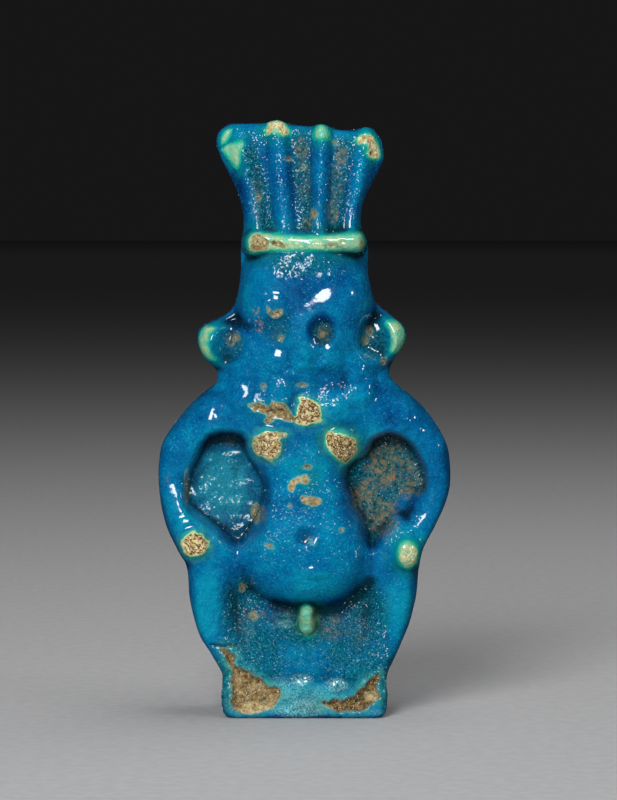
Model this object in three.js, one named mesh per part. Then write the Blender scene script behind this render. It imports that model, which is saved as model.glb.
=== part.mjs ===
// A small standing Bes figure, pressed in a mould and glazed, in one piece with its low base.
// It wears a crown of four feathers, stands with bowed legs and rests its hands on its thighs.
// The front faces -Y and its right-hand side in a front view is +X. All lengths are in millimetres.
import * as THREE from "three";

// Height of the figure itself, from the top of its base to the tips of its crown.
const FIGURE_HEIGHT = 55.8;
// The low base under the feet, measured from the parting plane of the mould, which is y = 0.
const BASE_HEIGHT = 4.2;
const BASE_WIDTH = 16.7;
const BASE_FRONT = 6.1;
const BASE_BACK = 4.7;
const BASE_TOP_ROUNDING = 2.2;
const FOOT_ROUNDING = 0.6;
// The thin web that fills the gaps between the arms and the waist.
const WEB_FRONT = 2.0;
// Rounding of the outline's edge, in front and behind.
const FRONT_EDGE_ROUNDING = 1.0;
const BACK_EDGE_ROUNDING = 1.9;
const CROWN_TOP_ROUNDING = 0.9;

// The carving is given in modules: one module is a hundredth of the figure's own height.
// Positions are pairs of modules, across from the middle and up from the top of the base.
const MODULES_HIGH = 100;
const MODULE = FIGURE_HEIGHT / MODULES_HIGH;
const TOTAL_HEIGHT = BASE_HEIGHT + FIGURE_HEIGHT;

// Meshing: points around the front and the back of each section, and sections up the figure.
const FRONT_STEPS = 46;
const BACK_STEPS = 16;
const SECTIONS = 79;
const FINE_STEPS = 260;
const CAP_STEPS = 12;
// Steep flanks get more points than level stretches by this factor.
const STEEP_WEIGHT = 1.5;
// Sections take their spread of points from their neighbours too, this far above and below.
const SPREAD = 0.9;
// Columns, in modules from the middle, whose profiles say where the sections crowd together.
const PROFILE_COLUMNS = [-20, -9, -4, 0.4, 5, 9, 20];

// Outline of the figure: height above the base, then how far it reaches to the left and the right.
const OUTLINE = [
  [3.8, 17.0, 16.8],
  [6.6, 18.8, 18.0],
  [9.5, 19.9, 19.2],
  [14.0, 20.9, 20.3],
  [19.0, 21.4, 20.8],
  [22.8, 23.3, 21.5],
  [27.1, 25.3, 23.8],
  [32.8, 26.3, 26.2],
  [38.7, 26.4, 26.4],
  [42.5, 25.4, 25.4],
  [47.5, 21.7, 22.2],
  [50.4, 18.8, 19.2],
  [52.6, 16.1, 16.5],
  [54.7, 15.9, 15.4],
  [57.5, 18.3, 16.6],
  [60.4, 19.4, 18.3],
  [62.8, 18.6, 18.1],
  [64.9, 14.4, 15.7],
  [67.0, 12.6, 13.1],
  [72.0, 11.6, 11.6],
  [77.5, 11.5, 11.5],
  [81.5, 11.0, 10.2],
  [85.3, 11.5, 10.6],
  [90.0, 13.3, 12.7],
  [94.5, 15.4, 14.3],
  [97.0, 15.9, 14.2],
  [98.7, 15.3, 13.8],
  [100.0, 13.6, 12.6],
];

// Depth of the back behind the parting plane: height above the base, then depth.
const BACK = [
  [3.0, 7.8],
  [14.0, 7.6],
  [26.0, 7.8],
  [44.0, 7.4],
  [56.0, 6.9],
  [66.0, 7.1],
  [78.0, 6.4],
  [86.0, 5.6],
  [100.0, 4.8],
];

// The back falls away towards the outline by this share of its depth.
const BACK_SIDE_FALL = 0.3;

// The crown: where it starts, its depth at the foot and at the top, and how it rounds off sideways.
// It leans back and flares out at its foot. Below the foot it fades out behind the headband.
const CROWN = { foot: 80, fade: 4, footDepth: 7.6, topDepth: 5.2, sideFall: 0.5, sidePower: 3 };
const CROWN_FLARE = { height: 0.8, end: 87 };
// The four feather ribs: place at the foot and at the tip, half width and height of each.
// The higher the rib power, the narrower their crests and the softer their feet.
const RIB_POWER = 1.25;
const RIBS = [
  { foot: [-9.1, 81.0], tip: [-11.7, 97.0], halfWidth: 2.3, height: 1.5 },
  { foot: [-3.6, 80.6], tip: [-4.9, 99.5], halfWidth: 2.2, height: 1.9 },
  { foot: [2.6, 80.6], tip: [3.2, 99.5], halfWidth: 2.0, height: 2.1 },
  { foot: [9.3, 81.0], tip: [11.4, 98.5], halfWidth: 2.3, height: 1.9 },
];
// The crown's top edge drops from left to right and rises in a low bump at three feather tips.
const TOP_EDGE = { left: -0.5, right: -2.1, bend: -7.5, end: 14, start: 86 };
const TIP_BUMPS = [
  { at: -4.9, halfWidth: 2.6, height: 0.6 },
  { at: 3.3, halfWidth: 2.4, height: 0.6 },
  { at: 11.3, halfWidth: 2.8, height: 0.9 },
];

// The big rounded masses, each half an ellipsoid: middle, radii across and up, depth at its crest.
const MASSES = {
  skull: { at: [0.2, 68.0], across: 12.8, up: 13.6, crest: 12.0, fullness: 3.6 },
  face: { at: [-0.4, 57.6], across: 14.4, up: 11.0, crest: 11.4, fullness: 2.2 },
  mane: { at: [0, 49.6], across: 19.5, up: 11.4, crest: 10.4, fullness: 2.2 },
  leftEar: { at: [-15.8, 59.8], across: 4.2, up: 4.6, crest: 7.4 },
  rightEar: { at: [15.0, 60.8], across: 4.1, up: 4.4, crest: 7.4 },
  chest: { at: [0.2, 41.0], across: 11.8, up: 11.5, crest: 10.0, fullness: 2.4 },
  belly: { at: [0.2, 22.2], across: 13.2, up: 10.8, crest: 12.4, fullness: 3.4 },
  leftGroin: { at: [-13.0, 20.0], across: 5.0, up: 7.0, crest: 8.2 },
  rightGroin: { at: [12.8, 19.5], across: 5.0, up: 7.0, crest: 8.2 },
  loins: { at: [1.4, 3.4], across: 10.4, up: 6.0, crest: 9.0, fullness: 2.2 },
  leftFoot: { at: [-9.6, 0.4], across: 5.8, up: 5.6, crest: 9.6 },
  rightFoot: { at: [8.6, 0.4], across: 6.2, up: 5.2, crest: 10.0 },
};

// Limbs and rolls with a rounded section: stations of place, radius and depth at the crest.
const LIMBS = {
  earRoll: [
    { at: [-15.0, 59.4], radius: 4.6, crest: 6.2 },
    { at: [-9.0, 58.4], radius: 6.6, crest: 8.8 },
    { at: [9.0, 58.6], radius: 6.6, crest: 8.8 },
    { at: [14.4, 60.2], radius: 4.6, crest: 6.2 },
  ],
  leftArm: [
    { at: [-6, 47.0], radius: 7.4, crest: 9.4 },
    { at: [-15.5, 45.2], radius: 6.4, crest: 8.6 },
    { at: [-21.8, 40.2], radius: 4.9, crest: 7.0 },
    { at: [-24.4, 34.8], radius: 3.6, crest: 6.2 },
    { at: [-21.0, 26.6], radius: 4.4, crest: 8.8 },
    { at: [-19.6, 23.2], radius: 4.2, crest: 9.0 },
  ],
  rightArm: [
    { at: [6, 47.0], radius: 7.4, crest: 9.4 },
    { at: [15.5, 45.4], radius: 6.4, crest: 8.6 },
    { at: [22.0, 40.6], radius: 5.1, crest: 7.4 },
    { at: [24.2, 33.6], radius: 3.6, crest: 6.6 },
    { at: [22.8, 28.0], radius: 3.9, crest: 7.4 },
    { at: [19.0, 22.6], radius: 4.6, crest: 9.2 },
  ],
  waist: [
    { at: [0.2, 44.0], radius: 10.4, crest: 9.6 },
    { at: [0.2, 36.0], radius: 8.8, crest: 9.2 },
    { at: [0.2, 31.0], radius: 9.4, crest: 10.4 },
    { at: [0.2, 26.0], radius: 11.6, crest: 12.0 },
  ],
  leftLeg: [
    { at: [-17.0, 24.0], radius: 5.2, crest: 8.8 },
    { at: [-17.4, 14.0], radius: 4.8, crest: 8.6 },
    { at: [-16.0, 6.5], radius: 4.6, crest: 8.6 },
    { at: [-12.2, -2.0], radius: 5.4, crest: 9.2 },
  ],
  rightLeg: [
    { at: [16.4, 24.0], radius: 5.2, crest: 8.8 },
    { at: [16.6, 14.0], radius: 4.8, crest: 8.6 },
    { at: [15.2, 6.5], radius: 4.8, crest: 8.6 },
    { at: [11.8, -2.0], radius: 5.4, crest: 9.2 },
  ],
  headband: [
    { at: [-8.6, 78.0], radius: 2.9, crest: 10.1 },
    { at: [-5.5, 78.2], radius: 2.5, crest: 10.1 },
    { at: [6.0, 78.1], radius: 2.5, crest: 11.1 },
    { at: [8.9, 78.2], radius: 2.6, crest: 11.4 },
  ],
  pendant: [
    { at: [0.4, 11.4], radius: 1.9, crest: 11.4 },
    { at: [0.5, 8.8], radius: 1.8, crest: 9.6 },
  ],
};
// The broad floor between the legs. It stands out further than the web, and below it swells
// forward, from the higher of its two levels down to the lower one, until it runs into the base.
const LAP = { at: [0.3, 8.0], across: 18.5, up: 17.0, power: 4, crest: 5.4, footCrest: 9.6 };
const LAP_SWELLS = { from: 13.0, to: 1.0 };
// How full the section of a limb is: 2 would make it an ellipse, and more makes its crest flatter.
const LIMB_FULLNESS = 3;
// How softly the masses and limbs run into each other, the gaps into their flanks, and the base
// into the legs.
const BLEND = 2.8;
const GAP_BLEND = 1.4;
const BASE_BLEND = 2.4;

// Small raised forms on top of the masses: place, half sizes across and up, height, and a tilt in
// degrees where the form slants.
const SWELLINGS = {
  leftBrow: { at: [-5.3, 66.7], across: 2.6, up: 2.8, height: 0.6 },
  leftTemple: { at: [-7.8, 66.7], across: 2.0, up: 3.4, height: 0.3 },
  rightBrow: { at: [8.6, 65.6], across: 15.0, up: 6.8, height: 1.0, tilt: 28 },
  noseBridge: { at: [-0.9, 60.3], across: 2.8, up: 6.2, height: 0.15 },
  leftCheek: { at: [-5.1, 56.9], across: 2.6, up: 2.4, height: 0.5, tilt: 20 },
  nose: { at: [-0.4, 57.0], across: 2.4, up: 2.4, height: 0.5, tilt: 20 },
  rightCheek: { at: [4.9, 56.7], across: 2.6, up: 2.4, height: 0.55, tilt: 20 },
  farLeftLock: { at: [-11.6, 51.6], across: 2.8, up: 4.4, height: 0.7, tilt: -10 },
  leftLock: { at: [-4.4, 50.7], across: 2.6, up: 3.6, height: 0.8 },
  rightLock: { at: [5.5, 49.0], across: 3.6, up: 4.4, height: 0.5 },
  farRightLock: { at: [10.2, 52.3], across: 3.2, up: 4.2, height: 0.9 },
  tongueStump: { at: [0.4, 48.2], across: 2.9, up: 3.4, height: 0.9 },
  leftNippleStump: { at: [-6.8, 42.0], across: 3.3, up: 3.6, height: 1.9 },
  rightNippleStump: { at: [6.6, 41.8], across: 3.5, up: 3.6, height: 1.9 },
  leftHand: { at: [-20.0, 24.0], across: 3.1, up: 3.2, height: 1.4 },
  rightHand: { at: [18.7, 22.4], across: 2.8, up: 3.6, height: 1.5 },
};

// Small sunk forms: place, half sizes across and up, depth.
const HOLLOWS = {
  leftEye: { at: [-5.2, 62.6], across: 3.0, up: 3.4, depth: 0.35 },
  rightEye: { at: [3.1, 62.2], across: 3.0, up: 3.8, depth: 1.3 },
  leftEar: { at: [-13.6, 59.4], across: 3.4, up: 4.0, depth: 1.5 },
  rightEar: { at: [12.8, 60.6], across: 3.8, up: 4.6, depth: 2.0 },
  lip: { at: [4.6, 53.6], across: 4.8, up: 3.2, depth: 1.0 },
  navel: { at: [0.9, 25.0], across: 2.2, up: 2.0, depth: 0.8 },
};

// The sunk gaps between the arms and the waist, which the web closes. Their flanks rise at this
// slope, from a foot that lies this far inside the outline.
const GAPS = {
  left: [
    [-17.1, 43.3], [-11.3, 43.3], [-9.7, 40.0], [-7.0, 35.6], [-6.6, 32.7], [-7.7, 28.7],
    [-9.5, 25.8], [-12.0, 23.2], [-15.6, 25.9], [-18.7, 28.2], [-21.1, 30.1], [-21.9, 32.7],
    [-21.5, 35.6], [-20.4, 38.4],
  ],
  right: [
    [12.7, 42.7], [15.8, 43.6], [19.1, 42.1], [21.1, 39.4], [22.4, 35.6], [22.2, 33.0],
    [20.9, 32.0], [17.6, 31.6], [16.6, 28.5], [14.4, 25.4], [12.2, 22.9], [10.7, 25.8],
    [9.6, 30.3], [7.8, 33.0], [7.3, 36.7], [8.5, 38.9], [10.9, 40.3],
  ],
};
const GAP_FLANK_SLOPE = 3.2;
const GAP_FLANK_FOOT = 0.9;
// Two flakes have broken away from the corners of the base: how deep they are, and their outlines.
const CHIPS = {
  left: {
    cut: 1.1,
    outline: [
      [-14.9, 5.0], [-12.9, 4.0], [-12.4, 1.9], [-9.8, 0.7], [-6.7, -1.4], [-4.2, -2.4],
      [-4.7, -4.2], [-6.2, -5.5], [-9.0, -6.5], [-11.8, -6.5], [-13.1, -4.2], [-13.1, 0.1],
      [-14.0, 2.7],
    ],
  },
  right: {
    cut: 1.0,
    outline: [
      [13.4, 0.1], [12.2, -0.1], [10.1, -2.2], [7.8, -3.9], [4.0, -4.2], [3.1, -4.6],
      [4.2, -5.6], [6.5, -6.2], [10.1, -6.2], [11.9, -4.8], [13.5, -3.9], [13.2, -2.2],
    ],
  },
};
const CHIP_BORDER = 0.7;
// Points added on each side of an outline when it is rounded into a smooth curve.
const OUTLINE_STEPS = 3;

// Joins two values, rounding the corner where they cross over a width of about k.
function smoothMax(a, b, k) {
  const near = Math.max(k - Math.abs(a - b), 0) / k;
  return Math.max(a, b) + (near * near * k) / 4;
}

const smoothMin = (a, b, k) => -smoothMax(-a, -b, k);

function smoothStep(from, to, value) {
  const t = THREE.MathUtils.clamp((value - from) / (to - from), 0, 1);
  return t * t * (3 - 2 * t);
}

// Reads one column of a table of stations by a smooth curve through them.
function along(table, column, value) {
  const last = table.length - 1;
  let i = 0;
  while (i < last - 1 && value > table[i + 1][0]) i += 1;
  const slope = (k) => {
    const before = table[Math.max(k - 1, 0)];
    const after = table[Math.min(k + 1, last)];
    return (after[column] - before[column]) / (after[0] - before[0]);
  };
  const span = table[i + 1][0] - table[i][0];
  const t = THREE.MathUtils.clamp((value - table[i][0]) / span, 0, 1);
  const rise = t * t * (3 - 2 * t);
  const leave = t * (1 - t) * (1 - t) * span * slope(i);
  const arrive = t * t * (t - 1) * span * slope(i + 1);
  return table[i][column] * (1 - rise) + table[i + 1][column] * rise + leave + arrive;
}

// Nearest place on a straight piece: how far along it lies, from 0 to 1, and how far away it is.
function nearest(start, end, u, v) {
  const du = end[0] - start[0];
  const dv = end[1] - start[1];
  const raw = ((u - start[0]) * du + (v - start[1]) * dv) / (du * du + dv * dv);
  const t = THREE.MathUtils.clamp(raw, 0, 1);
  return { t, distance: Math.hypot(u - start[0] - du * t, v - start[1] - dv * t) };
}

// Distance to a closed outline, negative inside it.
function outlineDistance(points, u, v) {
  let best = Infinity;
  let inside = false;
  points.forEach((end, i) => {
    const start = points[(i + points.length - 1) % points.length];
    best = Math.min(best, nearest(start, end, u, v).distance);
    const crosses = start[1] > v !== end[1] > v;
    if (crosses && u < start[0] + ((v - start[1]) / (end[1] - start[1])) * (end[0] - start[0])) {
      inside = !inside;
    }
  });
  return inside ? -best : best;
}

// Rounds a closed outline of a few points into a smooth one.
function rounded(points) {
  const corners = points.map(([u, v]) => new THREE.Vector3(u, v, 0));
  const curve = new THREE.CatmullRomCurve3(corners, true, "centripetal");
  return curve.getPoints(points.length * OUTLINE_STEPS).slice(1).map((p) => [p.x, p.y]);
}

// Half an ellipsoid; a fullness above 2 makes it fuller towards its rim.
function massDepth({ at, across, up, crest, fullness = 2 }, u, v) {
  const away = Math.hypot((u - at[0]) / across, (v - at[1]) / up);
  return away < 1 ? crest * Math.sqrt(1 - away ** fullness) : 0;
}

function limbDepth(stations, u, v) {
  let depth = 0;
  for (let i = 1; i < stations.length; i += 1) {
    const a = stations[i - 1];
    const b = stations[i];
    const { t, distance } = nearest(a.at, b.at, u, v);
    const radius = THREE.MathUtils.lerp(a.radius, b.radius, t);
    const crest = THREE.MathUtils.lerp(a.crest, b.crest, t);
    if (distance < radius) {
      depth = Math.max(depth, crest * Math.sqrt(1 - (distance / radius) ** LIMB_FULLNESS));
    }
  }
  return depth;
}

// A bump of height 1 over an ellipse, level at its middle and at its rim. A tilt turns the ellipse
// anticlockwise.
function bump({ at, across, up, tilt = 0 }, u, v) {
  const turn = THREE.MathUtils.degToRad(tilt);
  const [du, dv] = [u - at[0], v - at[1]];
  const lengthwise = (du * Math.cos(turn) + dv * Math.sin(turn)) / across;
  const crosswise = (dv * Math.cos(turn) - du * Math.sin(turn)) / up;
  const q = lengthwise ** 2 + crosswise ** 2;
  return q < 1 ? (1 - q * q) ** 2 : 0;
}

function ribHeight({ foot, tip, halfWidth, height }, u, v) {
  const { distance } = nearest(foot, tip, u, v);
  const q = 1 - (distance / halfWidth) ** 2;
  return q > 0 ? height * q ** RIB_POWER : 0;
}

function crownDepth(u, v, reach) {
  if (v < CROWN.foot - CROWN.fade) return 0;
  const t = THREE.MathUtils.clamp((v - CROWN.foot) / (MODULES_HIGH - CROWN.foot), 0, 1);
  const flare = CROWN_FLARE.height * (1 - smoothStep(CROWN.foot, CROWN_FLARE.end, v));
  const middle = THREE.MathUtils.lerp(CROWN.footDepth, CROWN.topDepth, t) + flare;
  const across = THREE.MathUtils.clamp(Math.abs(u) / reach, 0, 1);
  const body = middle * (1 - CROWN.sideFall * across ** CROWN.sidePower);
  const ribs = RIBS.reduce((sum, rib) => sum + ribHeight(rib, u, v), 0);
  return (body + ribs) * smoothStep(CROWN.foot - CROWN.fade, CROWN.foot, v);
}

// The floor between the legs: level across, with rounded flanks, and deeper towards the base.
function lapDepth(u, v) {
  const across = Math.abs((u - LAP.at[0]) / LAP.across) ** LAP.power;
  const up = Math.abs((v - LAP.at[1]) / LAP.up) ** LAP.power;
  const swell = smoothStep(LAP_SWELLS.from, LAP_SWELLS.to, v);
  const crest = THREE.MathUtils.lerp(LAP.crest, LAP.footCrest, swell);
  return across + up < 1 ? crest * Math.sqrt(1 - across - up) : 0;
}

const gapOutlines = Object.values(GAPS).map(rounded);
const chips = Object.values(CHIPS).map(({ cut, outline }) => ({ cut, outline: rounded(outline) }));

// Depth of the figure's front, in modules in front of the parting plane.
function figureFront(u, v, reach) {
  const web = WEB_FRONT / MODULE;
  let depth = smoothMax(web, crownDepth(u, v, reach), BLEND);
  depth = smoothMax(depth, lapDepth(u, v), BLEND);
  for (const mass of Object.values(MASSES)) depth = smoothMax(depth, massDepth(mass, u, v), BLEND);
  for (const limb of Object.values(LIMBS)) depth = smoothMax(depth, limbDepth(limb, u, v), BLEND);
  for (const outline of gapOutlines) {
    const away = Math.max(outlineDistance(outline, u, v) + GAP_FLANK_FOOT, 0);
    depth = smoothMin(depth, web + away * GAP_FLANK_SLOPE, GAP_BLEND);
  }
  for (const form of Object.values(SWELLINGS)) depth += form.height * bump(form, u, v);
  for (const form of Object.values(HOLLOWS)) depth -= form.depth * bump(form, u, v);
  return depth;
}

// A quarter round from 0 at its rim to 1 where it has run its full width.
function quarterRound(away, radius) {
  const t = 1 - THREE.MathUtils.clamp(away / radius, 0, 1);
  return Math.sqrt(1 - t * t);
}

// Depth of the base on one side of the parting plane, falling to nothing above its top.
function baseDepth(z, depth) {
  if (z > BASE_HEIGHT) return 0;
  return depth - BASE_TOP_ROUNDING * (1 - quarterRound(BASE_HEIGHT - z, BASE_TOP_ROUNDING));
}

function front(x, z, reach) {
  const u = x / MODULE;
  const v = (z - BASE_HEIGHT) / MODULE;
  const figure = figureFront(u, v, reach / MODULE) * MODULE;
  let depth = smoothMax(figure, baseDepth(z, BASE_FRONT), BASE_BLEND * MODULE);
  for (const { cut, outline } of chips) {
    depth -= cut * MODULE * smoothStep(0, -CHIP_BORDER, outlineDistance(outline, u, v));
  }
  return depth;
}

function back(x, z, reach) {
  const v = (z - BASE_HEIGHT) / MODULE;
  const crest = along(BACK, 1, v) * MODULE;
  const figure = crest * (1 - BACK_SIDE_FALL * (x / reach) ** 2);
  return smoothMax(figure, baseDepth(z, BASE_BACK), BLEND * MODULE);
}

// Outline in millimetres: the base's own sides first, then the figure's.
const outlineTable = [
  [0, BASE_WIDTH / 2 - FOOT_ROUNDING, BASE_WIDTH / 2 - FOOT_ROUNDING],
  [FOOT_ROUNDING, BASE_WIDTH / 2 - FOOT_ROUNDING / 4, BASE_WIDTH / 2 - FOOT_ROUNDING / 4],
  [BASE_HEIGHT / 2, BASE_WIDTH / 2, BASE_WIDTH / 2],
  [BASE_HEIGHT, BASE_WIDTH / 2, BASE_WIDTH / 2],
  ...OUTLINE.map(([v, left, right]) => [BASE_HEIGHT + v * MODULE, left * MODULE, right * MODULE]),
];

// How much of the depth is lost to the rounding at the top of the crown and at the foot.
function endLoss(z) {
  const top = CROWN_TOP_ROUNDING * (1 - quarterRound(TOTAL_HEIGHT - z, CROWN_TOP_ROUNDING));
  const foot = FOOT_ROUNDING * (1 - quarterRound(z, FOOT_ROUNDING));
  return top + foot;
}

// Picks points at even distances along a chain, where length(i) is that of its piece before point i.
function evenly(chain, steps, length) {
  const lengths = [0];
  for (let i = 1; i < chain.length; i += 1) lengths.push(lengths[i - 1] + length(i));
  const total = lengths[lengths.length - 1];
  const picked = [];
  let i = 1;
  for (let step = 0; step <= steps; step += 1) {
    const wanted = (total * step) / steps;
    while (i < chain.length - 1 && lengths[i] < wanted) i += 1;
    const span = lengths[i] - lengths[i - 1];
    const t = span > 0 ? (wanted - lengths[i - 1]) / span : 0;
    picked.push(chain[i - 1].map((value, k) => THREE.MathUtils.lerp(value, chain[i][k], t)));
  }
  return picked;
}

// One side of a section as a fine chain, from edge to edge: side is -1 in front and 1 behind.
function fineSection(z, side) {
  const left = along(outlineTable, 1, z);
  const right = along(outlineTable, 2, z);
  const rounding = side < 0 ? FRONT_EDGE_ROUNDING : BACK_EDGE_ROUNDING;
  const depthAt = side < 0 ? front : back;
  const chain = [[-left, 0]];
  for (let i = 0; i <= FINE_STEPS; i += 1) {
    const swing = (1 - Math.cos((Math.PI * i) / FINE_STEPS)) / 2;
    const x = THREE.MathUtils.lerp(-left, right, swing);
    const edge = Math.min(x + left, right - x);
    const full = depthAt(x, z, x < 0 ? left : right) - endLoss(z);
    const depth = full - Math.min(rounding, full) * (1 - quarterRound(edge, rounding));
    chain.push([x, side * depth]);
  }
  chain.push([right, 0]);
  return chain;
}

// The same side with few points, spread by the lengths that it and its neighbours have.
function halfSection(z, side) {
  const chain = fineSection(z, side);
  const near = [-SPREAD, SPREAD].map((rise) => THREE.MathUtils.clamp(z + rise, 0, TOTAL_HEIGHT));
  const chains = [chain, ...near.map((height) => fineSection(height, side))];
  const steps = side < 0 ? FRONT_STEPS : BACK_STEPS;
  const piece = (points, i) => {
    const across = points[i][0] - points[i - 1][0];
    return Math.hypot(across, STEEP_WEIGHT * (points[i][1] - points[i - 1][1]));
  };
  return evenly(chain, steps, (i) => chains.reduce((sum, points) => sum + piece(points, i), 0));
}

// The crown's top edge: how far it lies above or below the level of its highest tip.
function topEdge(u) {
  const slope = smoothStep(TOP_EDGE.bend, TOP_EDGE.end, u);
  const line = THREE.MathUtils.lerp(TOP_EDGE.left, TOP_EDGE.right, slope);
  const near = (tip) => Math.max(1 - ((u - tip.at) / tip.halfWidth) ** 2, 0);
  return TIP_BUMPS.reduce((sum, tip) => sum + tip.height * near(tip) ** 2, line);
}

// Heights of the sections, crowded together where the profiles turn sharply.
function sectionHeights() {
  const chain = [];
  for (let i = 0; i <= FINE_STEPS; i += 1) {
    const z = (TOTAL_HEIGHT * i) / FINE_STEPS;
    const profile = PROFILE_COLUMNS.map((column) => {
      const reach = along(outlineTable, column < 0 ? 1 : 2, z);
      return front(THREE.MathUtils.clamp(column * MODULE, -reach, reach), z, reach) - endLoss(z);
    });
    chain.push([z, ...profile]);
  }
  const profileLength = (i) => {
    const [before, after] = [chain[i - 1], chain[i]];
    const pieces = PROFILE_COLUMNS.map((_, k) => after[k + 1] - before[k + 1]);
    return pieces.reduce((sum, drop) => sum + Math.hypot(after[0] - before[0], drop), 0);
  };
  return evenly(chain, SECTIONS - 1, profileLength).map(([z]) => z);
}

// A point of a section, lifted or lowered with the crown's uneven top edge.
function placed([x, y], z) {
  const v = (z - BASE_HEIGHT) / MODULE;
  const raise = smoothStep(TOP_EDGE.start, MODULES_HIGH, v) * MODULE;
  return new THREE.Vector3(x, y, z + topEdge(x / MODULE) * raise);
}

// One section all round: along the front from left to right, then back behind it.
function sectionRing(z) {
  const around = [...halfSection(z, -1), ...halfSection(z, 1).reverse().slice(1, -1)];
  return around.map((point) => placed(point, z));
}

// Fills the strip between a chain and the spine, which share their first and last point.
function stripTriangles(points, chain, spine) {
  const faces = [[chain[0], chain[1], spine[1]]];
  let i = 1;
  let j = 1;
  while (i < chain.length - 2 || j < spine.length - 2) {
    const chainNext = points[chain[i + 1]].x;
    const spineNext = points[spine[j + 1]].x;
    const takeChain = j === spine.length - 2 || (i < chain.length - 2 && chainNext <= spineNext);
    if (takeChain) {
      faces.push([chain[i], chain[i + 1], spine[j]]);
      i += 1;
    } else {
      faces.push([chain[i], spine[j + 1], spine[j]]);
      j += 1;
    }
  }
  faces.push([chain[i], chain[i + 1], spine[j]]);
  return faces;
}

// Closes a ring with a level face, built on a spine of points along the parting plane.
function capTriangles(points, ring, z, facesUp) {
  const across = points[ring[FRONT_STEPS]].x - points[ring[0]].x;
  const spine = [ring[0]];
  for (let j = 1; j < CAP_STEPS; j += 1) {
    spine.push(points.length);
    points.push(placed([points[ring[0]].x + (across * j) / CAP_STEPS, 0], z));
  }
  spine.push(ring[FRONT_STEPS]);
  const frontChain = ring.slice(0, FRONT_STEPS + 1);
  const backChain = [ring[0], ...ring.slice(FRONT_STEPS).reverse()];
  const frontFaces = stripTriangles(points, frontChain, spine);
  const backFaces = stripTriangles(points, backChain, spine).map(([a, b, c]) => [a, c, b]);
  const faces = [...frontFaces, ...backFaces];
  return facesUp ? faces : faces.map(([a, b, c]) => [a, c, b]);
}

// The four-sided gap between two neighbouring rings, split along its shorter diagonal.
function quadTriangles(points, a, b, c, d) {
  const split = points[a].distanceTo(points[c]) < points[b].distanceTo(points[d]);
  return split ? [[a, b, c], [a, c, d]] : [[a, b, d], [b, c, d]];
}

function figureGeometry() {
  const heights = sectionHeights();
  const points = heights.flatMap(sectionRing);
  const size = FRONT_STEPS + BACK_STEPS;
  const rings = heights.map((z, k) => Array.from({ length: size }, (_, i) => k * size + i));
  const faces = capTriangles(points, rings[0], heights[0], false);
  for (let k = 1; k < rings.length; k += 1) {
    for (let i = 0; i < size; i += 1) {
      const next = (i + 1) % size;
      const corners = [rings[k - 1][i], rings[k - 1][next], rings[k][next], rings[k][i]];
      faces.push(...quadTriangles(points, ...corners));
    }
  }
  faces.push(...capTriangles(points, rings[rings.length - 1], heights[rings.length - 1], true));
  const geometry = new THREE.BufferGeometry().setFromPoints(points);
  geometry.setIndex(faces.flat());
  geometry.computeBoundingBox();
  const middle = geometry.boundingBox.getCenter(new THREE.Vector3());
  geometry.translate(-middle.x, -middle.y, -geometry.boundingBox.min.z);
  geometry.computeVertexNormals();
  return geometry;
}

const glaze = new THREE.MeshStandardMaterial({
  name: "turquoise glaze",
  color: 0x0a6ea3,
  roughness: 0.18,
  metalness: 0,
});

const figure = new THREE.Mesh(figureGeometry(), glaze);
figure.name = "bes_figure";

const part = new THREE.Group();
part.add(figure);

export default part;
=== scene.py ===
# %% [markdown]
# # A glazed figure of Bes
#
# The real object is a small figure of moulded faience: a paste of ground quartz, pressed into an
# open mould and fired under a copper glaze. The glaze pooled deep blue in the hollows, ran thin
# and turquoise over the crests, and turned mint green where it broke over edges. Where it has
# chipped, the buff, porous body shows.
#
# The lesson starts with the packed model, which fixes where the figure stands and how big it is.

# %% Load the frame
import math

import bmesh
import bpy
import mathutils
import numpy as np
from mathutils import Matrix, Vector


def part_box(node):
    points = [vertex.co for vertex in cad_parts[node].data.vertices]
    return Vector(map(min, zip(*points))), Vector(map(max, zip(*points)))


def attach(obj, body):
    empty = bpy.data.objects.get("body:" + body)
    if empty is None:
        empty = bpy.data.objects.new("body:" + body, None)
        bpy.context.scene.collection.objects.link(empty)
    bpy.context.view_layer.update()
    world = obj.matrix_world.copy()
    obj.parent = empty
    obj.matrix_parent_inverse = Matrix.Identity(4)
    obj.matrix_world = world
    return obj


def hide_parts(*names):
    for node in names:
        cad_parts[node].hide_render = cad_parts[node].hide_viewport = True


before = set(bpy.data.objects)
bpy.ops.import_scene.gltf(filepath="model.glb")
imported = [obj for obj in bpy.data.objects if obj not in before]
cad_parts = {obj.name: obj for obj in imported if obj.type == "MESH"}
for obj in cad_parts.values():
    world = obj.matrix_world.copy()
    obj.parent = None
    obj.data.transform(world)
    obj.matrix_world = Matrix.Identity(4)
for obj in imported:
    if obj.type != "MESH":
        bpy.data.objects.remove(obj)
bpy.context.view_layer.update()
NODE = "bes_figure"
low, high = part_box(NODE)
print("the figure is", [round(1000 * side, 2) for side in high - low], "mm")

# %% [markdown]
# A sculptor's canon gives every measure as a share of the figure's height, and so does this
# script. One module is a hundredth of the height from the top of the base to the crown's tips,
# and a place is a pair of modules: across from the middle, and up from the top of the base.

# %% The module
BASE = 7.527
CROWN_PEAK = 0.036
MODULE = (high.z - low.z) / (BASE + 100 + CROWN_PEAK)
MM = 0.001 / MODULE
print("one module is", round(1000 * MODULE, 3), "mm")

# %% [markdown]
# Soft clay has no sharp joins. Meshes joined by a Boolean would meet in a crease, and a sculpted
# mesh couldn't follow a changed size. So the figure is drawn as heights, and `smooth_max` joins
# two of them and rounds the corner between them, as one rounded mass runs into the next.

# %% Soft joins and soft steps
def smooth_max(a, b, width):
    """The greater of two heights, with the corner between them rounded over a width."""
    near = np.maximum(width - np.abs(a - b), 0) / width
    return np.maximum(a, b) + near * near * width / 4


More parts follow.
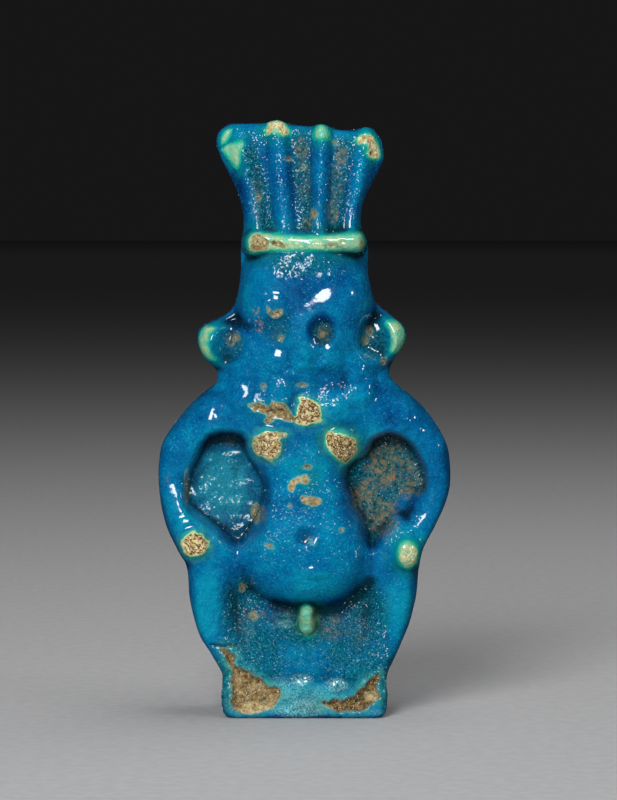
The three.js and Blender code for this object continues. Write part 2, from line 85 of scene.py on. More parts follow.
def smooth_min(a, b, width):
    return -smooth_max(-a, -b, width)


def mix(a, b, t):
    """From a to b, as t goes from 0 to 1."""
    return a + (b - a) * t


def step(start, end, value):
    """A soft step, from 0 at the start to 1 at the end."""
    t = np.clip((value - start) / (end - start), 0, 1)
    return t * t * (3 - 2 * t)


def through(table, column, value):
    """Reads one column of a table of stations by a smooth curve through them."""
    stations = np.array(table, float)
    place, height = stations[:, 0], stations[:, column]
    before = np.maximum(np.arange(len(place)) - 1, 0)
    after = np.minimum(np.arange(len(place)) + 1, len(place) - 1)
    slope = (height[after] - height[before]) / (place[after] - place[before])
    i = np.clip(np.searchsorted(place, value) - 1, 0, len(place) - 2)
    span = place[i + 1] - place[i]
    t = np.clip((value - place[i]) / span, 0, 1)
    rise = t * t * (3 - 2 * t)
    leave = t * (1 - t) ** 2 * span * slope[i]
    arrive = t * t * (t - 1) * span * slope[i + 1]
    return mix(height[i], height[i + 1], rise) + leave + arrive


print("two heights of 1 join at", smooth_max(1.0, 1.0, 0.5))


# %% [markdown]
# Distances do most of the drawing. The distance to a straight piece makes limbs, and the
# distance to a closed outline, negative inside it, makes the sunk gaps, the chips and the
# patches of green glaze. Each outline has only the corners that its shape needs, and a smooth
# curve rounds it.

# %% Distances
CURVE_STEPS = 3


def nearest(start, end, u, v):
    """How far along a straight piece its nearest place lies, from 0 to 1, and how far away."""
    du, dv = end[0] - start[0], end[1] - start[1]
    t = np.clip(((u - start[0]) * du + (v - start[1]) * dv) / (du * du + dv * dv), 0, 1)
    return t, np.hypot(u - start[0] - du * t, v - start[1] - dv * t)


def rounded(corners):
    """A smooth closed curve through the corners, with even speed at each corner."""
    points = np.array(corners, float)
    gap = np.sqrt(np.linalg.norm(np.roll(points, -1, 0) - points, axis=1))[:, None]
    past, ahead = np.roll(gap, 1, 0), np.roll(gap, -1, 0)
    p0, p1 = np.roll(points, 1, 0), points
    p2, p3 = np.roll(points, -1, 0), np.roll(points, -2, 0)
    leave = ((p1 - p0) / past - (p2 - p0) / (past + gap) + (p2 - p1) / gap) * gap
    arrive = ((p2 - p1) / gap - (p3 - p1) / (gap + ahead) + (p3 - p2) / ahead) * gap
    pieces = []
    for t in np.arange(CURVE_STEPS) / CURVE_STEPS:
        rise = t * t * (3 - 2 * t)
        bend = leave * t * (1 - t) ** 2 + arrive * t * t * (t - 1)
        pieces.append(mix(p1, p2, rise) + bend)
    return np.stack(pieces, axis=1).reshape(-1, 2)


def outline_distance(outline, u, v):
    """Distance to a closed outline, negative inside it."""
    best = np.full(np.shape(u), np.inf)
    inside = np.zeros(np.shape(u), bool)
    for start, end in zip(outline, np.roll(outline, -1, 0)):
        best = np.minimum(best, nearest(start, end, u, v)[1])
        if start[1] == end[1]:
            continue
        crosses = (start[1] > v) != (end[1] > v)
        at = start[0] + (v - start[1]) / (end[1] - start[1]) * (end[0] - start[0])
        inside ^= crosses & (u < at)
    return np.where(inside, -best, best)


square = rounded([(-1, -1), (1, -1), (1, 1), (-1, 1)])
print("the middle of a rounded square lies at", round(float(outline_distance(square, 0, 0)), 3))

# %% [markdown]
# The outline is the one thing that a front view fixes exactly: for each height, how far the
# figure reaches to the left and to the right. Below it stands the low base, which is a little
# narrower than the calves.

# %% The outline and the depth of the back
BASE_WIDTH = 16.7 * MM
BASE_FRONT = 6.1 * MM
BASE_BACK = 4.7 * MM
BASE_TOP_ROUNDING = 2.2 * MM
FOOT_ROUNDING = 0.6 * MM
CROWN_TOP_ROUNDING = 0.9 * MM
FRONT_EDGE_ROUNDING = 1.0 * MM
BACK_EDGE_ROUNDING = 1.9 * MM
WEB = 2.0 * MM

OUTLINE = [
    # height, reach to the left, reach to the right
    (-BASE, BASE_WIDTH / 2 - FOOT_ROUNDING, BASE_WIDTH / 2 - FOOT_ROUNDING),
    (FOOT_ROUNDING - BASE, BASE_WIDTH / 2 - FOOT_ROUNDING / 4, BASE_WIDTH / 2 - FOOT_ROUNDING / 4),
    (-BASE / 2, BASE_WIDTH / 2, BASE_WIDTH / 2),
    (0, BASE_WIDTH / 2, BASE_WIDTH / 2),
    (3.8, 17.0, 16.8), (6.6, 18.8, 18.0), (9.5, 19.9, 19.2), (14.0, 20.9, 20.3),
    (19.0, 21.4, 20.8), (22.8, 23.3, 21.5), (27.1, 25.3, 23.8), (32.8, 26.3, 26.2),
    (38.7, 26.4, 26.4), (42.5, 25.4, 25.4), (47.5, 21.7, 22.2), (50.4, 18.8, 19.2),
    (52.6, 16.1, 16.5), (54.7, 15.9, 15.4), (57.5, 18.3, 16.6), (60.4, 19.4, 18.3),
    (62.8, 18.6, 18.1), (64.9, 14.4, 15.7), (67.0, 12.6, 13.1), (72.0, 11.6, 11.6),
    (77.5, 11.5, 11.5), (81.5, 11.0, 10.2), (85.3, 11.5, 10.6), (90.0, 13.3, 12.7),
    (94.5, 15.4, 14.3), (97.0, 15.9, 14.2), (98.7, 15.3, 13.8), (100.0, 13.6, 12.6),
]

BACK = [
    # height, depth of the back
    (3.0, 7.8), (14.0, 7.6), (26.0, 7.8), (44.0, 7.4), (56.0, 6.9),
    (66.0, 7.1), (78.0, 6.4), (86.0, 5.6), (100.0, 4.8),
]
BACK_SIDE_FALL = 0.3
print(len(OUTLINE), "heights in the outline")

# %% [markdown]
# The body is a set of rounded masses, each half an ellipsoid, and of limbs, each a chain of
# stations with a radius and a depth. This is how a modeller blocks a figure out before any
# detail, and the packed solid is made in the same way, so the two agree.

# %% Masses and limbs
MASSES = {
    # middle, radius across, radius up, depth at the crest, fullness
    "skull": ((0.2, 68.0), 12.8, 13.6, 12.0, 3.6),
    "face": ((-0.4, 57.6), 14.4, 11.0, 11.4, 2.2),
    "mane": ((0, 49.6), 19.5, 11.4, 10.4, 2.2),
    "left ear": ((-15.8, 59.8), 4.2, 4.6, 7.4, 2),
    "right ear": ((15.0, 60.8), 4.1, 4.4, 7.4, 2),
    "chest": ((0.2, 41.0), 11.8, 11.5, 10.0, 2.4),
    "belly": ((0.2, 22.2), 13.2, 10.8, 12.4, 3.4),
    "left groin": ((-13.0, 20.0), 5.0, 7.0, 8.2, 2),
    "right groin": ((12.8, 19.5), 5.0, 7.0, 8.2, 2),
    "loins": ((1.4, 3.4), 10.4, 6.0, 9.0, 2.2),
    "left foot": ((-9.6, 0.4), 5.8, 5.6, 9.6, 2),
    "right foot": ((8.6, 0.4), 6.2, 5.2, 10.0, 2),
}
LIMBS = {
    # stations: place, radius, depth at the crest
    "ear roll": [
        ((-15.0, 59.4), 4.6, 6.2), ((-9.0, 58.4), 6.6, 8.8),
        ((9.0, 58.6), 6.6, 8.8), ((14.4, 60.2), 4.6, 6.2),
    ],
    "left arm": [
        ((-6, 47.0), 7.4, 9.4), ((-15.5, 45.2), 6.4, 8.6), ((-21.8, 40.2), 4.9, 7.0),
        ((-24.4, 34.8), 3.6, 6.2), ((-21.0, 26.6), 4.4, 8.8), ((-19.6, 23.2), 4.2, 9.0),
    ],
    "right arm": [
        ((6, 47.0), 7.4, 9.4), ((15.5, 45.4), 6.4, 8.6), ((22.0, 40.6), 5.1, 7.4),
        ((24.2, 33.6), 3.6, 6.6), ((22.8, 28.0), 3.9, 7.4), ((19.0, 22.6), 4.6, 9.2),
    ],
    "waist": [
        ((0.2, 44.0), 10.4, 9.6), ((0.2, 36.0), 8.8, 9.2),
        ((0.2, 31.0), 9.4, 10.4), ((0.2, 26.0), 11.6, 12.0),
    ],
    "left leg": [
        ((-17.0, 24.0), 5.2, 8.8), ((-17.4, 14.0), 4.8, 8.6),
        ((-16.0, 6.5), 4.6, 8.6), ((-12.2, -2.0), 5.4, 9.2),
    ],
    "right leg": [
        ((16.4, 24.0), 5.2, 8.8), ((16.6, 14.0), 4.8, 8.6),
        ((15.2, 6.5), 4.8, 8.6), ((11.8, -2.0), 5.4, 9.2),
    ],
    "headband": [
        ((-8.6, 78.0), 2.9, 10.1), ((-5.5, 78.2), 2.5, 10.1),
        ((6.0, 78.1), 2.5, 11.1), ((8.9, 78.2), 2.6, 11.4),
    ],
    "pendant": [((0.4, 11.4), 1.9, 11.4), ((0.5, 8.8), 1.8, 9.6)],
}
LIMB_FULLNESS = 3
BLEND = 2.8
GAP_BLEND = 1.4
BASE_BLEND = 2.4


def mass_depth(at, across, up, crest, fullness, u, v):
    away = np.hypot((u - at[0]) / across, (v - at[1]) / up)
    return crest * np.sqrt(np.maximum(1 - away**fullness, 0))


def limb_depth(stations, u, v):
    depth = np.zeros(np.shape(u))
    for (start, r0, c0), (end, r1, c1) in zip(stations, stations[1:]):
        t, away = nearest(start, end, u, v)
        share = np.maximum(1 - (away / mix(r0, r1, t)) ** LIMB_FULLNESS, 0)
        depth = np.maximum(depth, mix(c0, c1, t) * np.sqrt(share))
    return depth


print(len(MASSES), "masses and", len(LIMBS), "limbs")


# %% [markdown]
# The crown is a fan of four feathers. Each feather is a low rib, so the depth of the crown is
# one gentle slab with four ribs added to it. It leans back a little and flares out at its foot,
# which is what makes a lamp draw a fine bright line down each rib.

# %% The crown
CROWN = dict(foot=80, fade=4, foot_depth=7.6, top_depth=5.2, side_fall=0.5, side_power=3)
CROWN_FLARE = dict(height=0.8, end=87)
RIB_POWER = 1.25
RIBS = [
    # foot, tip, half width, height
    ((-9.1, 81.0), (-11.7, 97.0), 2.3, 1.5),
    ((-3.6, 80.6), (-4.9, 99.5), 2.2, 1.9),
    ((2.6, 80.6), (3.2, 99.5), 2.0, 2.1),
    ((9.3, 81.0), (11.4, 98.5), 2.3, 1.9),
]
TOP_EDGE = dict(left=-0.5, right=-2.1, bend=-7.5, end=14, start=86)
TIP_BUMPS = [
    # place across, half width, height
    (-4.9, 2.6, 0.6),
    (3.3, 2.4, 0.6),
    (11.3, 2.8, 0.9),
]


def crown_depth(u, v, reach):
    t = np.clip((v - CROWN["foot"]) / (100 - CROWN["foot"]), 0, 1)
    middle = mix(CROWN["foot_depth"], CROWN["top_depth"], t)
    middle += CROWN_FLARE["height"] * step(CROWN_FLARE["end"], CROWN["foot"], v)
    across = np.clip(np.abs(u) / reach, 0, 1)
    depth = middle * (1 - CROWN["side_fall"] * across ** CROWN["side_power"])
    for foot, tip, half_width, height in RIBS:
        away = nearest(foot, tip, u, v)[1]
        depth += height * np.maximum(1 - (away / half_width) ** 2, 0) ** RIB_POWER
    return depth * step(CROWN["foot"] - CROWN["fade"], CROWN["foot"], v)


def top_edge(u):
    """How far the crown's top edge lies above or below the level of its highest tip."""
    edge = mix(TOP_EDGE["left"], TOP_EDGE["right"], step(TOP_EDGE["bend"], TOP_EDGE["end"], u))
    for at, half_width, height in TIP_BUMPS:
        edge = edge + height * np.maximum(1 - ((u - at) / half_width) ** 2, 0) ** 2
    return edge


print(len(RIBS), "feathers, with", len(TIP_BUMPS), "raised tips")


# %% [markdown]
# On top of the big masses lie small swellings, such as brows, cheeks and locks of the mane, and
# small hollows, such as the eyes and the ears. They are level at their middle and at their rim,
# so they read as soft, worn modelling. Each is one line of a table, which is quicker to set right
# than a sculpted detail, and the last five swellings are too fine for the packed solid.

# %% Small swellings and hollows
SWELLINGS = [
    # middle, half size across, half size up, height, tilt in degrees
    ((-5.3, 66.7), 2.6, 2.8, 0.6, 0),
    ((-7.8, 66.7), 2.0, 3.4, 0.3, 0),
    ((8.6, 65.6), 15.0, 6.8, 1.0, 28),
    ((-0.9, 60.3), 2.8, 6.2, 0.15, 0),
    ((-5.1, 56.9), 2.6, 2.4, 0.5, 20),
    ((-0.4, 57.0), 2.4, 2.4, 0.5, 20),
    ((4.9, 56.7), 2.6, 2.4, 0.55, 20),
    ((-11.6, 51.6), 2.8, 4.4, 0.7, -10),
    ((-4.4, 50.7), 2.6, 3.6, 0.8, 0),
    ((5.5, 49.0), 3.6, 4.4, 0.5, 0),
    ((10.2, 52.3), 3.2, 4.2, 0.9, 0),
    ((0.4, 48.2), 2.9, 3.4, 0.9, 0),
    ((-6.8, 42.0), 3.3, 3.6, 1.9, 0),
    ((6.6, 41.8), 3.5, 3.6, 1.9, 0),
    ((-20.0, 24.0), 3.1, 3.2, 1.4, 0),
    ((18.7, 22.4), 2.8, 3.6, 1.5, 0),
    ((1.6, 24.4), 1.3, 1.2, 0.3, 0),
    ((2.2, 19.0), 3.0, 1.6, 0.45, 0),
    ((-0.6, 35.4), 2.4, 1.0, 0.3, 20),
    ((1.2, 31.9), 2.4, 1.0, 0.3, 0),
    ((0.0, 0.3), 11.0, 2.8, 0.5, 0),
]
HOLLOWS = [
    # middle, half size across, half size up, depth, tilt in degrees
    ((-5.2, 62.6), 3.0, 3.4, 0.35, 0),
    ((3.1, 62.2), 3.0, 3.8, 1.3, 0),
    ((-13.6, 59.4), 3.4, 4.0, 1.5, 0),
    ((12.8, 60.6), 3.8, 4.6, 2.0, 0),
    ((4.6, 53.6), 4.8, 3.2, 0.7, 0),
    ((0.1, 25.6), 2.2, 2.0, 0.8, 0),
]


def bump(at, across, up, tilt, u, v):
    """One where the swelling is full, and zero outside its rim."""
    turn, du, dv = math.radians(tilt), u - at[0], v - at[1]
    along = (du * math.cos(turn) + dv * math.sin(turn)) / across
    aside = (dv * math.cos(turn) - du * math.sin(turn)) / up
    q = along**2 + aside**2
    return np.where(q < 1, (1 - q * q) ** 2, 0)


print(len(SWELLINGS), "swellings and", len(HOLLOWS), "hollows")


# %% [markdown]
# The gaps between the arms and the waist aren't open. The mould left a thin web of paste there,
# sunk deep behind the arms. Between the legs the floor is higher, and it swells into the base.

# %% The web in the gaps and the floor between the legs
GAPS = [
    [
        (-17.1, 43.3), (-11.3, 43.3), (-9.7, 40.0), (-7.0, 35.6), (-6.6, 32.7), (-7.7, 28.7),
        (-9.5, 25.8), (-12.0, 23.2), (-15.6, 25.9), (-18.7, 28.2), (-21.1, 30.1), (-21.9, 32.7),
        (-21.5, 35.6), (-20.4, 38.4),
    ],
    [
        (12.7, 42.7), (15.8, 43.6), (19.1, 42.1), (21.1, 39.4), (22.4, 35.6), (22.2, 33.0),
        (20.9, 32.0), (17.6, 31.6), (16.6, 28.5), (14.4, 25.4), (12.2, 22.9), (10.7, 25.8),
        (9.6, 30.3), (7.8, 33.0), (7.3, 36.7), (8.5, 38.9), (10.9, 40.3),
    ],
]
GAP_FLANK_SLOPE = 3.2
GAP_FLANK_FOOT = 0.9
gap_outlines = [rounded(corners) for corners in GAPS]

LAP = dict(at=(0.3, 8.0), across=18.5, up=17.0, power=4, crest=5.4, foot_crest=9.6)
LAP_SWELLS = (13.0, 1.0)


def lap_depth(u, v):
    across = np.abs((u - LAP["at"][0]) / LAP["across"]) ** LAP["power"]
    up = np.abs((v - LAP["at"][1]) / LAP["up"]) ** LAP["power"]
    crest = mix(LAP["crest"], LAP["foot_crest"], step(*LAP_SWELLS, v))
    return crest * np.sqrt(np.maximum(1 - across - up, 0))


print(len(gap_outlines), "gaps, of", [len(outline) for outline in gap_outlines], "places")

# %% [markdown]
# Front and back are now each one function, which says how deep the figure is at any place. The
# packed solid is drawn by the same rules, so the two agree wherever a hand would touch them.

# %% The whole front and the whole back as depths
def quarter_round(away, radius):
    return np.sqrt(1 - (1 - np.clip(away / radius, 0, 1)) ** 2)


def base_depth(v, depth):
    fall = BASE_TOP_ROUNDING * (1 - quarter_round(-v, BASE_TOP_ROUNDING))
    return np.where(v > 0, 0, depth - fall)


def front_depth(u, v, reach):
    depth = smooth_max(WEB, crown_depth(u, v, reach), BLEND)
    depth = smooth_max(depth, lap_depth(u, v), BLEND)
    for form in MASSES.values():
        depth = smooth_max(depth, mass_depth(*form, u, v), BLEND)
    for stations in LIMBS.values():
        depth = smooth_max(depth, limb_depth(stations, u, v), BLEND)
    for outline in gap_outlines:
        away = np.maximum(outline_distance(outline, u, v) + GAP_FLANK_FOOT, 0)
        depth = smooth_min(depth, WEB + away * GAP_FLANK_SLOPE, GAP_BLEND)
    for at, across, up, height, tilt in SWELLINGS:
        depth += height * bump(at, across, up, tilt, u, v)
    for at, across, up, deep, tilt in HOLLOWS:
        depth -= deep * bump(at, across, up, tilt, u, v)
    return smooth_max(depth, base_depth(v, BASE_FRONT), BASE_BLEND)


def back_depth(u, v, reach):
    depth = through(BACK, 1, v) * (1 - BACK_SIDE_FALL * (u / reach) ** 2)
    return smooth_max(depth, base_depth(v, BASE_BACK), BLEND)


def end_loss(v):
    """How much depth is lost to the rounding at the top of the crown and at the foot."""
    top = CROWN_TOP_ROUNDING * (1 - quarter_round(100 - v, CROWN_TOP_ROUNDING))
    foot = FOOT_ROUNDING * (1 - quarter_round(v + BASE, FOOT_ROUNDING))
    return top + foot


chest = front_depth(np.zeros(1), np.full(1, 41.0), np.full(1, 25.0))[0]
print("the chest stands", round(1000 * MODULE * chest, 2), "mm forward")


# %% [markdown]
# The mesh is a stack of level sections. Points crowd together where the relief is steep, because
# a point lies at even steps along the length of its section and not across it. The lengths are
# blurred up and down a little first, so that neighbouring sections agree.

# %% Even steps along a section
def blur_rows(values, reach):
    """Averages each row with its neighbours, by a bell curve."""
    offsets = np.arange(-3 * reach, 3 * reach + 1)
    weights = np.exp(-0.5 * (offsets / reach) ** 2)
    padded = np.pad(values, ((3 * reach, 3 * reach), (0, 0)), mode="edge")
    rows = [padded[k : k + len(values)] * w for k, w in enumerate(weights)]
    return np.sum(rows, axis=0) / weights.sum()


def evenly(lengths, steps):
    """Places at even steps along a chain, as a piece number with a share of that piece."""
    total = np.concatenate([[0], np.cumsum(lengths)])
    return np.interp(np.linspace(0, total[-1], steps + 1), total, np.arange(len(total)))


print("two even steps along pieces of 1 and 3 end at", evenly([1, 3], 2).round(2).tolist())

# %% [markdown]
# The heights of the sections crowd in the same way, by the average length of seven profiles that
# run from the foot to the crown. Each section is drawn in two halves, a front and a back, and
# both run out to nothing at the sides, rounded over.

# %% Sections of the figure
ROWS = 392
FRONT_STEPS = 196
BACK_STEPS = 46
FINE = 560
STEEP_WEIGHT = 1.5
LENGTH_BLUR = 5
PROFILES = np.array([-20, -9, -4, 0.4, 5, 9, 20.0])


def section_heights():
    v = np.linspace(-BASE, 100, 6 * ROWS)[:, None]
    left, right = through(OUTLINE, 1, v), through(OUTLINE, 2, v)
    u = np.clip(PROFILES[None], -left, right)
    profile = front_depth(u, v, np.where(u < 0, left, right)) - end_loss(v)
    lengths = np.hypot(np.diff(v, axis=0), np.diff(profile, axis=0)).mean(1)
    return np.interp(evenly(lengths, ROWS - 1), np.arange(len(v)), v[:, 0])


def half_sections(heights, side, steps):
    """Places across and depths on one side of every section: side is -1 in front, 1 behind."""
    v = heights[:, None]
    left, right = through(OUTLINE, 1, v), through(OUTLINE, 2, v)
    swing = (1 - np.cos(np.linspace(0, math.pi, FINE + 1))) / 2
    u = mix(-left, right, swing[None])
    rounding = FRONT_EDGE_ROUNDING if side < 0 else BACK_EDGE_ROUNDING
    depth_at = front_depth if side < 0 else back_depth
    full = depth_at(u, v, np.where(u < 0, left, right)) - end_loss(v)
    edge = np.minimum(u + left, right - u)
    depth = full - np.minimum(rounding, full) * (1 - quarter_round(edge, rounding))
    u = np.hstack([-left, u, right])
    depth = np.hstack([np.zeros_like(left), depth, np.zeros_like(left)])
    lengths = blur_rows(np.hypot(np.diff(u), STEEP_WEIGHT * np.diff(depth)), LENGTH_BLUR)
    numbers = np.arange(u.shape[1])
    places = [evenly(row, steps) for row in lengths]
    u = np.array([np.interp(p, numbers, row) for p, row in zip(places, u)])
    depth = np.array([np.interp(p, numbers, row) for p, row in zip(places, depth)])
    return u, depth


heights = section_heights()
front_u, front_y = half_sections(heights, -1, FRONT_STEPS)
back_u, back_y = half_sections(heights, 1, BACK_STEPS)
print(len(heights), "sections, deepest form", round(front_y.max() * MODULE * 1000, 2), "mm")

# %% [markdown]
# Now the wear. Much of it has no clear border, so it is a soft spot, an ellipse that fades towards
# its rim, or a soft line along a chain of places. A painted image could hold the same, but a short
# list of spots stays readable, and it follows the figure when a size changes. Every list of
# spots has the same columns: a middle, half sizes across and up, and a strength.

# %% Soft spots and soft lines
SPOT_FADE = (1.05, 0.45)
front_v = np.broadcast_to(heights[:, None], front_u.shape)


def soft_spots(spots):
    """The strongest of several spots, at every place of the front."""
    cover = np.zeros_like(front_u)
    for at, across, up, strength in spots:
        ring = np.hypot((front_u - at[0]) / across, (front_v - at[1]) / up)
        cover = np.maximum(cover, strength * step(*SPOT_FADE, ring))
    return cover


def soft_lines(chains, half_width, core=0):
    """One inside the core of each chain of places, and zero beyond its half width."""
    cover = np.zeros_like(front_u)
    for chain in chains:
        for start, end in zip(chain, chain[1:]):
            away = nearest(start, end, front_u, front_v)[1]
            cover = np.maximum(cover, step(half_width, core * half_width, away))
    return cover


print("the front has", front_u.size, "places")

# %% [markdown]
# A chip is an outline in which the surface has flaked away, down to the buff body. The two broken
# corners of the base are cut into the packed solid too. A chip that is fresh has a crisp border
# with a pale rim, and one that wore through has none, so every chip has numbers for that.

# %% Chips
CHIPS = {
    # depth, how much glaze is lost, strength of the pale rim, paleness of the body, corners
    "left of the base": (1.1, 1, 0.0, 0.2, [
        (-14.9, 5.0), (-12.9, 4.0), (-12.4, 1.9), (-9.8, 0.7), (-6.7, -1.4), (-4.2, -2.4),
        (-4.7, -4.2), (-6.2, -5.5), (-9.0, -6.5), (-11.8, -6.5), (-13.1, -4.2), (-13.1, 0.1),
        (-14.0, 2.7),
    ]),
    "right of the base": (1.0, 1, 0.0, 0.0, [
        (13.4, 0.1), (12.2, -0.1), (10.1, -2.2), (7.8, -3.9), (4.0, -4.2), (3.1, -4.6),
        (4.2, -5.6), (6.5, -6.2), (10.1, -6.2), (11.9, -4.8), (13.5, -3.9), (13.2, -2.2),
    ]),
    "mouth": (0.5, 1, 0.8, 0.75, [
        (-0.5, 50.5), (1.3, 50.0), (2.4, 48.9), (2.9, 46.4), (1.5, 46.0), (0.5, 45.6),
        (-1.5, 46.3), (-1.6, 46.9), (-0.9, 48.3), (-0.7, 49.4),
    ]),
    "crack in the mane": (0.3, 0.8, 0.3, 0.2, [
        (-10.2, 49.0), (-8.9, 49.4), (-6.7, 49.0), (-5.3, 49.4), (-3.8, 49.4), (-3.1, 48.3),
        (-2.4, 47.4), (-1.6, 46.5), (-2.9, 46.5), (-4.0, 46.7), (-5.1, 47.0), (-5.6, 46.1),
        (-6.9, 46.1), (-6.5, 47.2), (-7.8, 47.8), (-9.3, 48.3),
    ]),
    "left nipple": (0.5, 1, 0.5, 0.9, [
        (-7.8, 44.0), (-6.5, 44.5), (-5.3, 44.1), (-3.8, 44.0), (-3.3, 43.8), (-4.4, 42.9),
        (-4.4, 41.9), (-4.9, 40.3), (-5.8, 39.2), (-7.1, 39.6), (-8.5, 40.1), (-9.3, 42.1),
        (-8.9, 43.2),
    ]),
    "right nipple": (0.5, 1, 0.7, 0.8, [
        (4.4, 44.3), (5.5, 44.0), (7.3, 43.6), (8.9, 42.7), (9.3, 40.9), (8.5, 39.4),
        (7.3, 38.7), (6.0, 39.6), (5.1, 40.7), (4.0, 42.1), (4.2, 43.4),
    ]),
    "left hand": (0.45, 1, 0.8, 0.9, [
        (-21.5, 25.0), (-20.4, 25.8), (-18.9, 25.6), (-17.6, 24.5), (-17.8, 23.0),
        (-18.9, 21.9), (-20.6, 21.8), (-21.8, 22.9), (-21.9, 24.1),
    ]),
    "headband's end": (0.35, 0.9, 0.3, 0.3, [
        (-9.1, 79.2), (-7.8, 79.7), (-6.7, 78.9), (-6.4, 77.2), (-9.6, 76.9), (-9.5, 78.3),
    ]),
    "streak on the headband": (0.15, 0.7, 0.2, 0.1, [
        (-6.2, 78.3), (-4.7, 78.5), (-3.1, 77.6), (-3.6, 77.1), (-5.1, 77.4),
    ]),
    "second tip": (0.25, 0.85, 0.3, 0.95, [
        (-6.7, 98.9), (-6.2, 99.7), (-4.5, 99.9), (-3.3, 99.2), (-3.1, 98.2), (-3.8, 97.6),
        (-4.7, 98.5), (-5.8, 98.2), (-6.5, 98.0),
    ]),
    "fourth tip": (0.25, 0.85, 0.3, 0.95, [
        (9.8, 98.2), (10.7, 98.4), (12.2, 98.0), (13.1, 96.5), (13.2, 95.1), (12.2, 94.3),
        (11.5, 94.9), (11.8, 96.2), (11.1, 97.1), (10.0, 97.4),
    ]),
    "upper ridge on the belly": (0.15, 0.85, 0.2, 0.5, [
        (-2.6, 33.8), (-2.4, 35.2), (-1.4, 36.0), (0.2, 36.1), (0.9, 35.6), (0.6, 35.1),
        (-0.9, 35.2), (-1.7, 34.6), (-2.0, 33.8),
    ]),
    "lower ridge on the belly": (0.2, 0.9, 0.2, 0.4, [
        (-0.4, 32.6), (0.6, 32.3), (2.0, 32.5), (2.9, 32.2), (2.8, 31.4), (1.4, 31.1),
        (0.3, 31.4), (-0.3, 31.8),
    ]),
    "right hand": (0.1, 0.5, 0.2, 1.0, [
        (18.0, 23.4), (19.0, 23.7), (19.9, 22.8), (19.8, 21.2), (18.9, 20.2), (17.7, 20.9),
        (17.4, 22.3),
    ]),
    "above the left eye": (0.3, 0.75, 0.1, 0.4, [
        (-6.4, 66.5), (-5.7, 66.0), (-4.8, 66.1), (-4.0, 66.0), (-4.2, 65.2), (-5.3, 64.9),
        (-6.3, 65.4),
    ]),
    "beside the left eye": (0.15, 0.3, 0.0, 0.2, [
        (-8.9, 66.7), (-8.2, 66.5), (-7.6, 65.2), (-7.3, 63.6), (-7.6, 62.0), (-8.4, 62.3),
        (-8.5, 64.3),
    ]),
}
PALE_BODY_SPOTS = [
    # middle, half size across, half size up, strength
    ((-8.5, -5.9), 5.0, 1.8, 0.7),
    ((-11.6, -1.6), 1.6, 2.6, 0.35),
    ((4.0, -5.4), 1.6, 0.9, 0.5),
    ((12.0, -3.4), 1.8, 1.2, 0.5),
]
print(len(CHIPS), "chips")

# %% [markdown]
# Pits are smaller than chips: a bubble burst there, or a coarse grain fell out. An ellipse is
# enough for each, and all of them have lost their glaze to the same degree.

# %% Pits
PIT_LOSS = 0.6
PIT_RIM = 0.12
PIT_TONE = 0.2
PITS = [
    # middle, half size across, half size up, depth
    ((-8.2, 86.2), 0.35, 0.55, 0.1),
    ((5.6, 97.4), 0.45, 0.45, 0.3),
    ((0.0, 92.2), 0.4, 0.4, 0.3),
    ((-2.9, 93.4), 0.35, 0.35, 0.3),
    ((1.8, 83.2), 0.6, 0.7, 0.1),
    ((-4.2, 61.2), 0.35, 0.45, 0.3),
    ((3.3, 61.6), 0.25, 0.35, 0.1),
    ((-21.3, 33.9), 0.3, 2.0, 0.1),
    ((-8.9, 29.0), 0.7, 1.3, 0.1),
    ((11.8, 62.3), 0.5, 0.6, 0.3),
    ((10.9, 60.5), 0.5, 0.5, 0.3),
    ((14.4, 56.7), 0.5, 0.6, 0.3),
    ((-12.2, 61.0), 0.5, 0.5, 0.3),
    ((-7.3, 52.5), 0.5, 0.5, 0.5),
    ((-0.4, 52.7), 0.8, 0.35, 0.3),
    ((0.5, 38.0), 0.5, 0.35, 0.5),
    ((-2.6, 31.0), 0.3, 0.4, 0.1),
    ((6.7, 26.7), 0.35, 0.3, 0.2),
    ((-6.2, 23.9), 0.6, 0.35, 0.3),
    ((-11.3, 15.8), 0.6, 0.8, 0.35),
    ((-9.2, 10.5), 0.55, 0.55, 0.1),
    ((4.8, 77.7), 0.5, 0.25, 0.2),
    ((6.8, 78.3), 0.45, 0.2, 0.2),
    ((10.3, 78.1), 0.35, 0.35, 0.2),
    ((18.9, 22.1), 0.25, 0.25, 0.3),
]
print(len(PITS), "pits")

# %% [markdown]
# No border in fired paste is smooth, so every border is shifted by random lumps. They come from a
# hash of the place, which turns its whole numbers into one that looks random. Unlike drawn random
# numbers, a hash gives the same lumps on every run and in any order.

# %% Random lumps
COARSE_WANDER = 1.1
FINE_WANDER = 0.45
FINE_WANDER_SHARE = 0.6
EDGE_WANDER = 0.3
ACROSS_PRIME, UP_PRIME, SEED_PRIME, MIXER = 73856093, 19349663, 7919, 1274126177
WORD, HALF_WORD = 0xFFFFFFFF, 0xFFFF


def lumps(size, seed):
    """Smooth random lumps from -1 to 1, about one for each stretch of the given size."""
    cell = np.stack([front_u, front_v], axis=-1) / size
    low_corner = np.floor(cell).astype(np.int64)
    t = step(0, 1, cell - low_corner)
    total = np.zeros_like(front_u)
    for corner in np.ndindex(2, 2):
        at = low_corner + corner
        code = at[..., 0] * ACROSS_PRIME ^ at[..., 1] * UP_PRIME
        code = (code + seed * SEED_PRIME) & WORD
        code = ((code ^ (code >> 13)) * MIXER) & WORD
        value = ((code ^ (code >> 16)) & HALF_WORD) / (HALF_WORD / 2) - 1
        total += value * np.prod(np.where(corner, t, 1 - t), axis=-1)
    return total


wander = lumps(COARSE_WANDER, seed=3) + FINE_WANDER_SHARE * lumps(FINE_WANDER, seed=4)
shift = EDGE_WANDER * wander
print("borders wander by up to", round(np.abs(shift).max() / MM, 2), "mm")

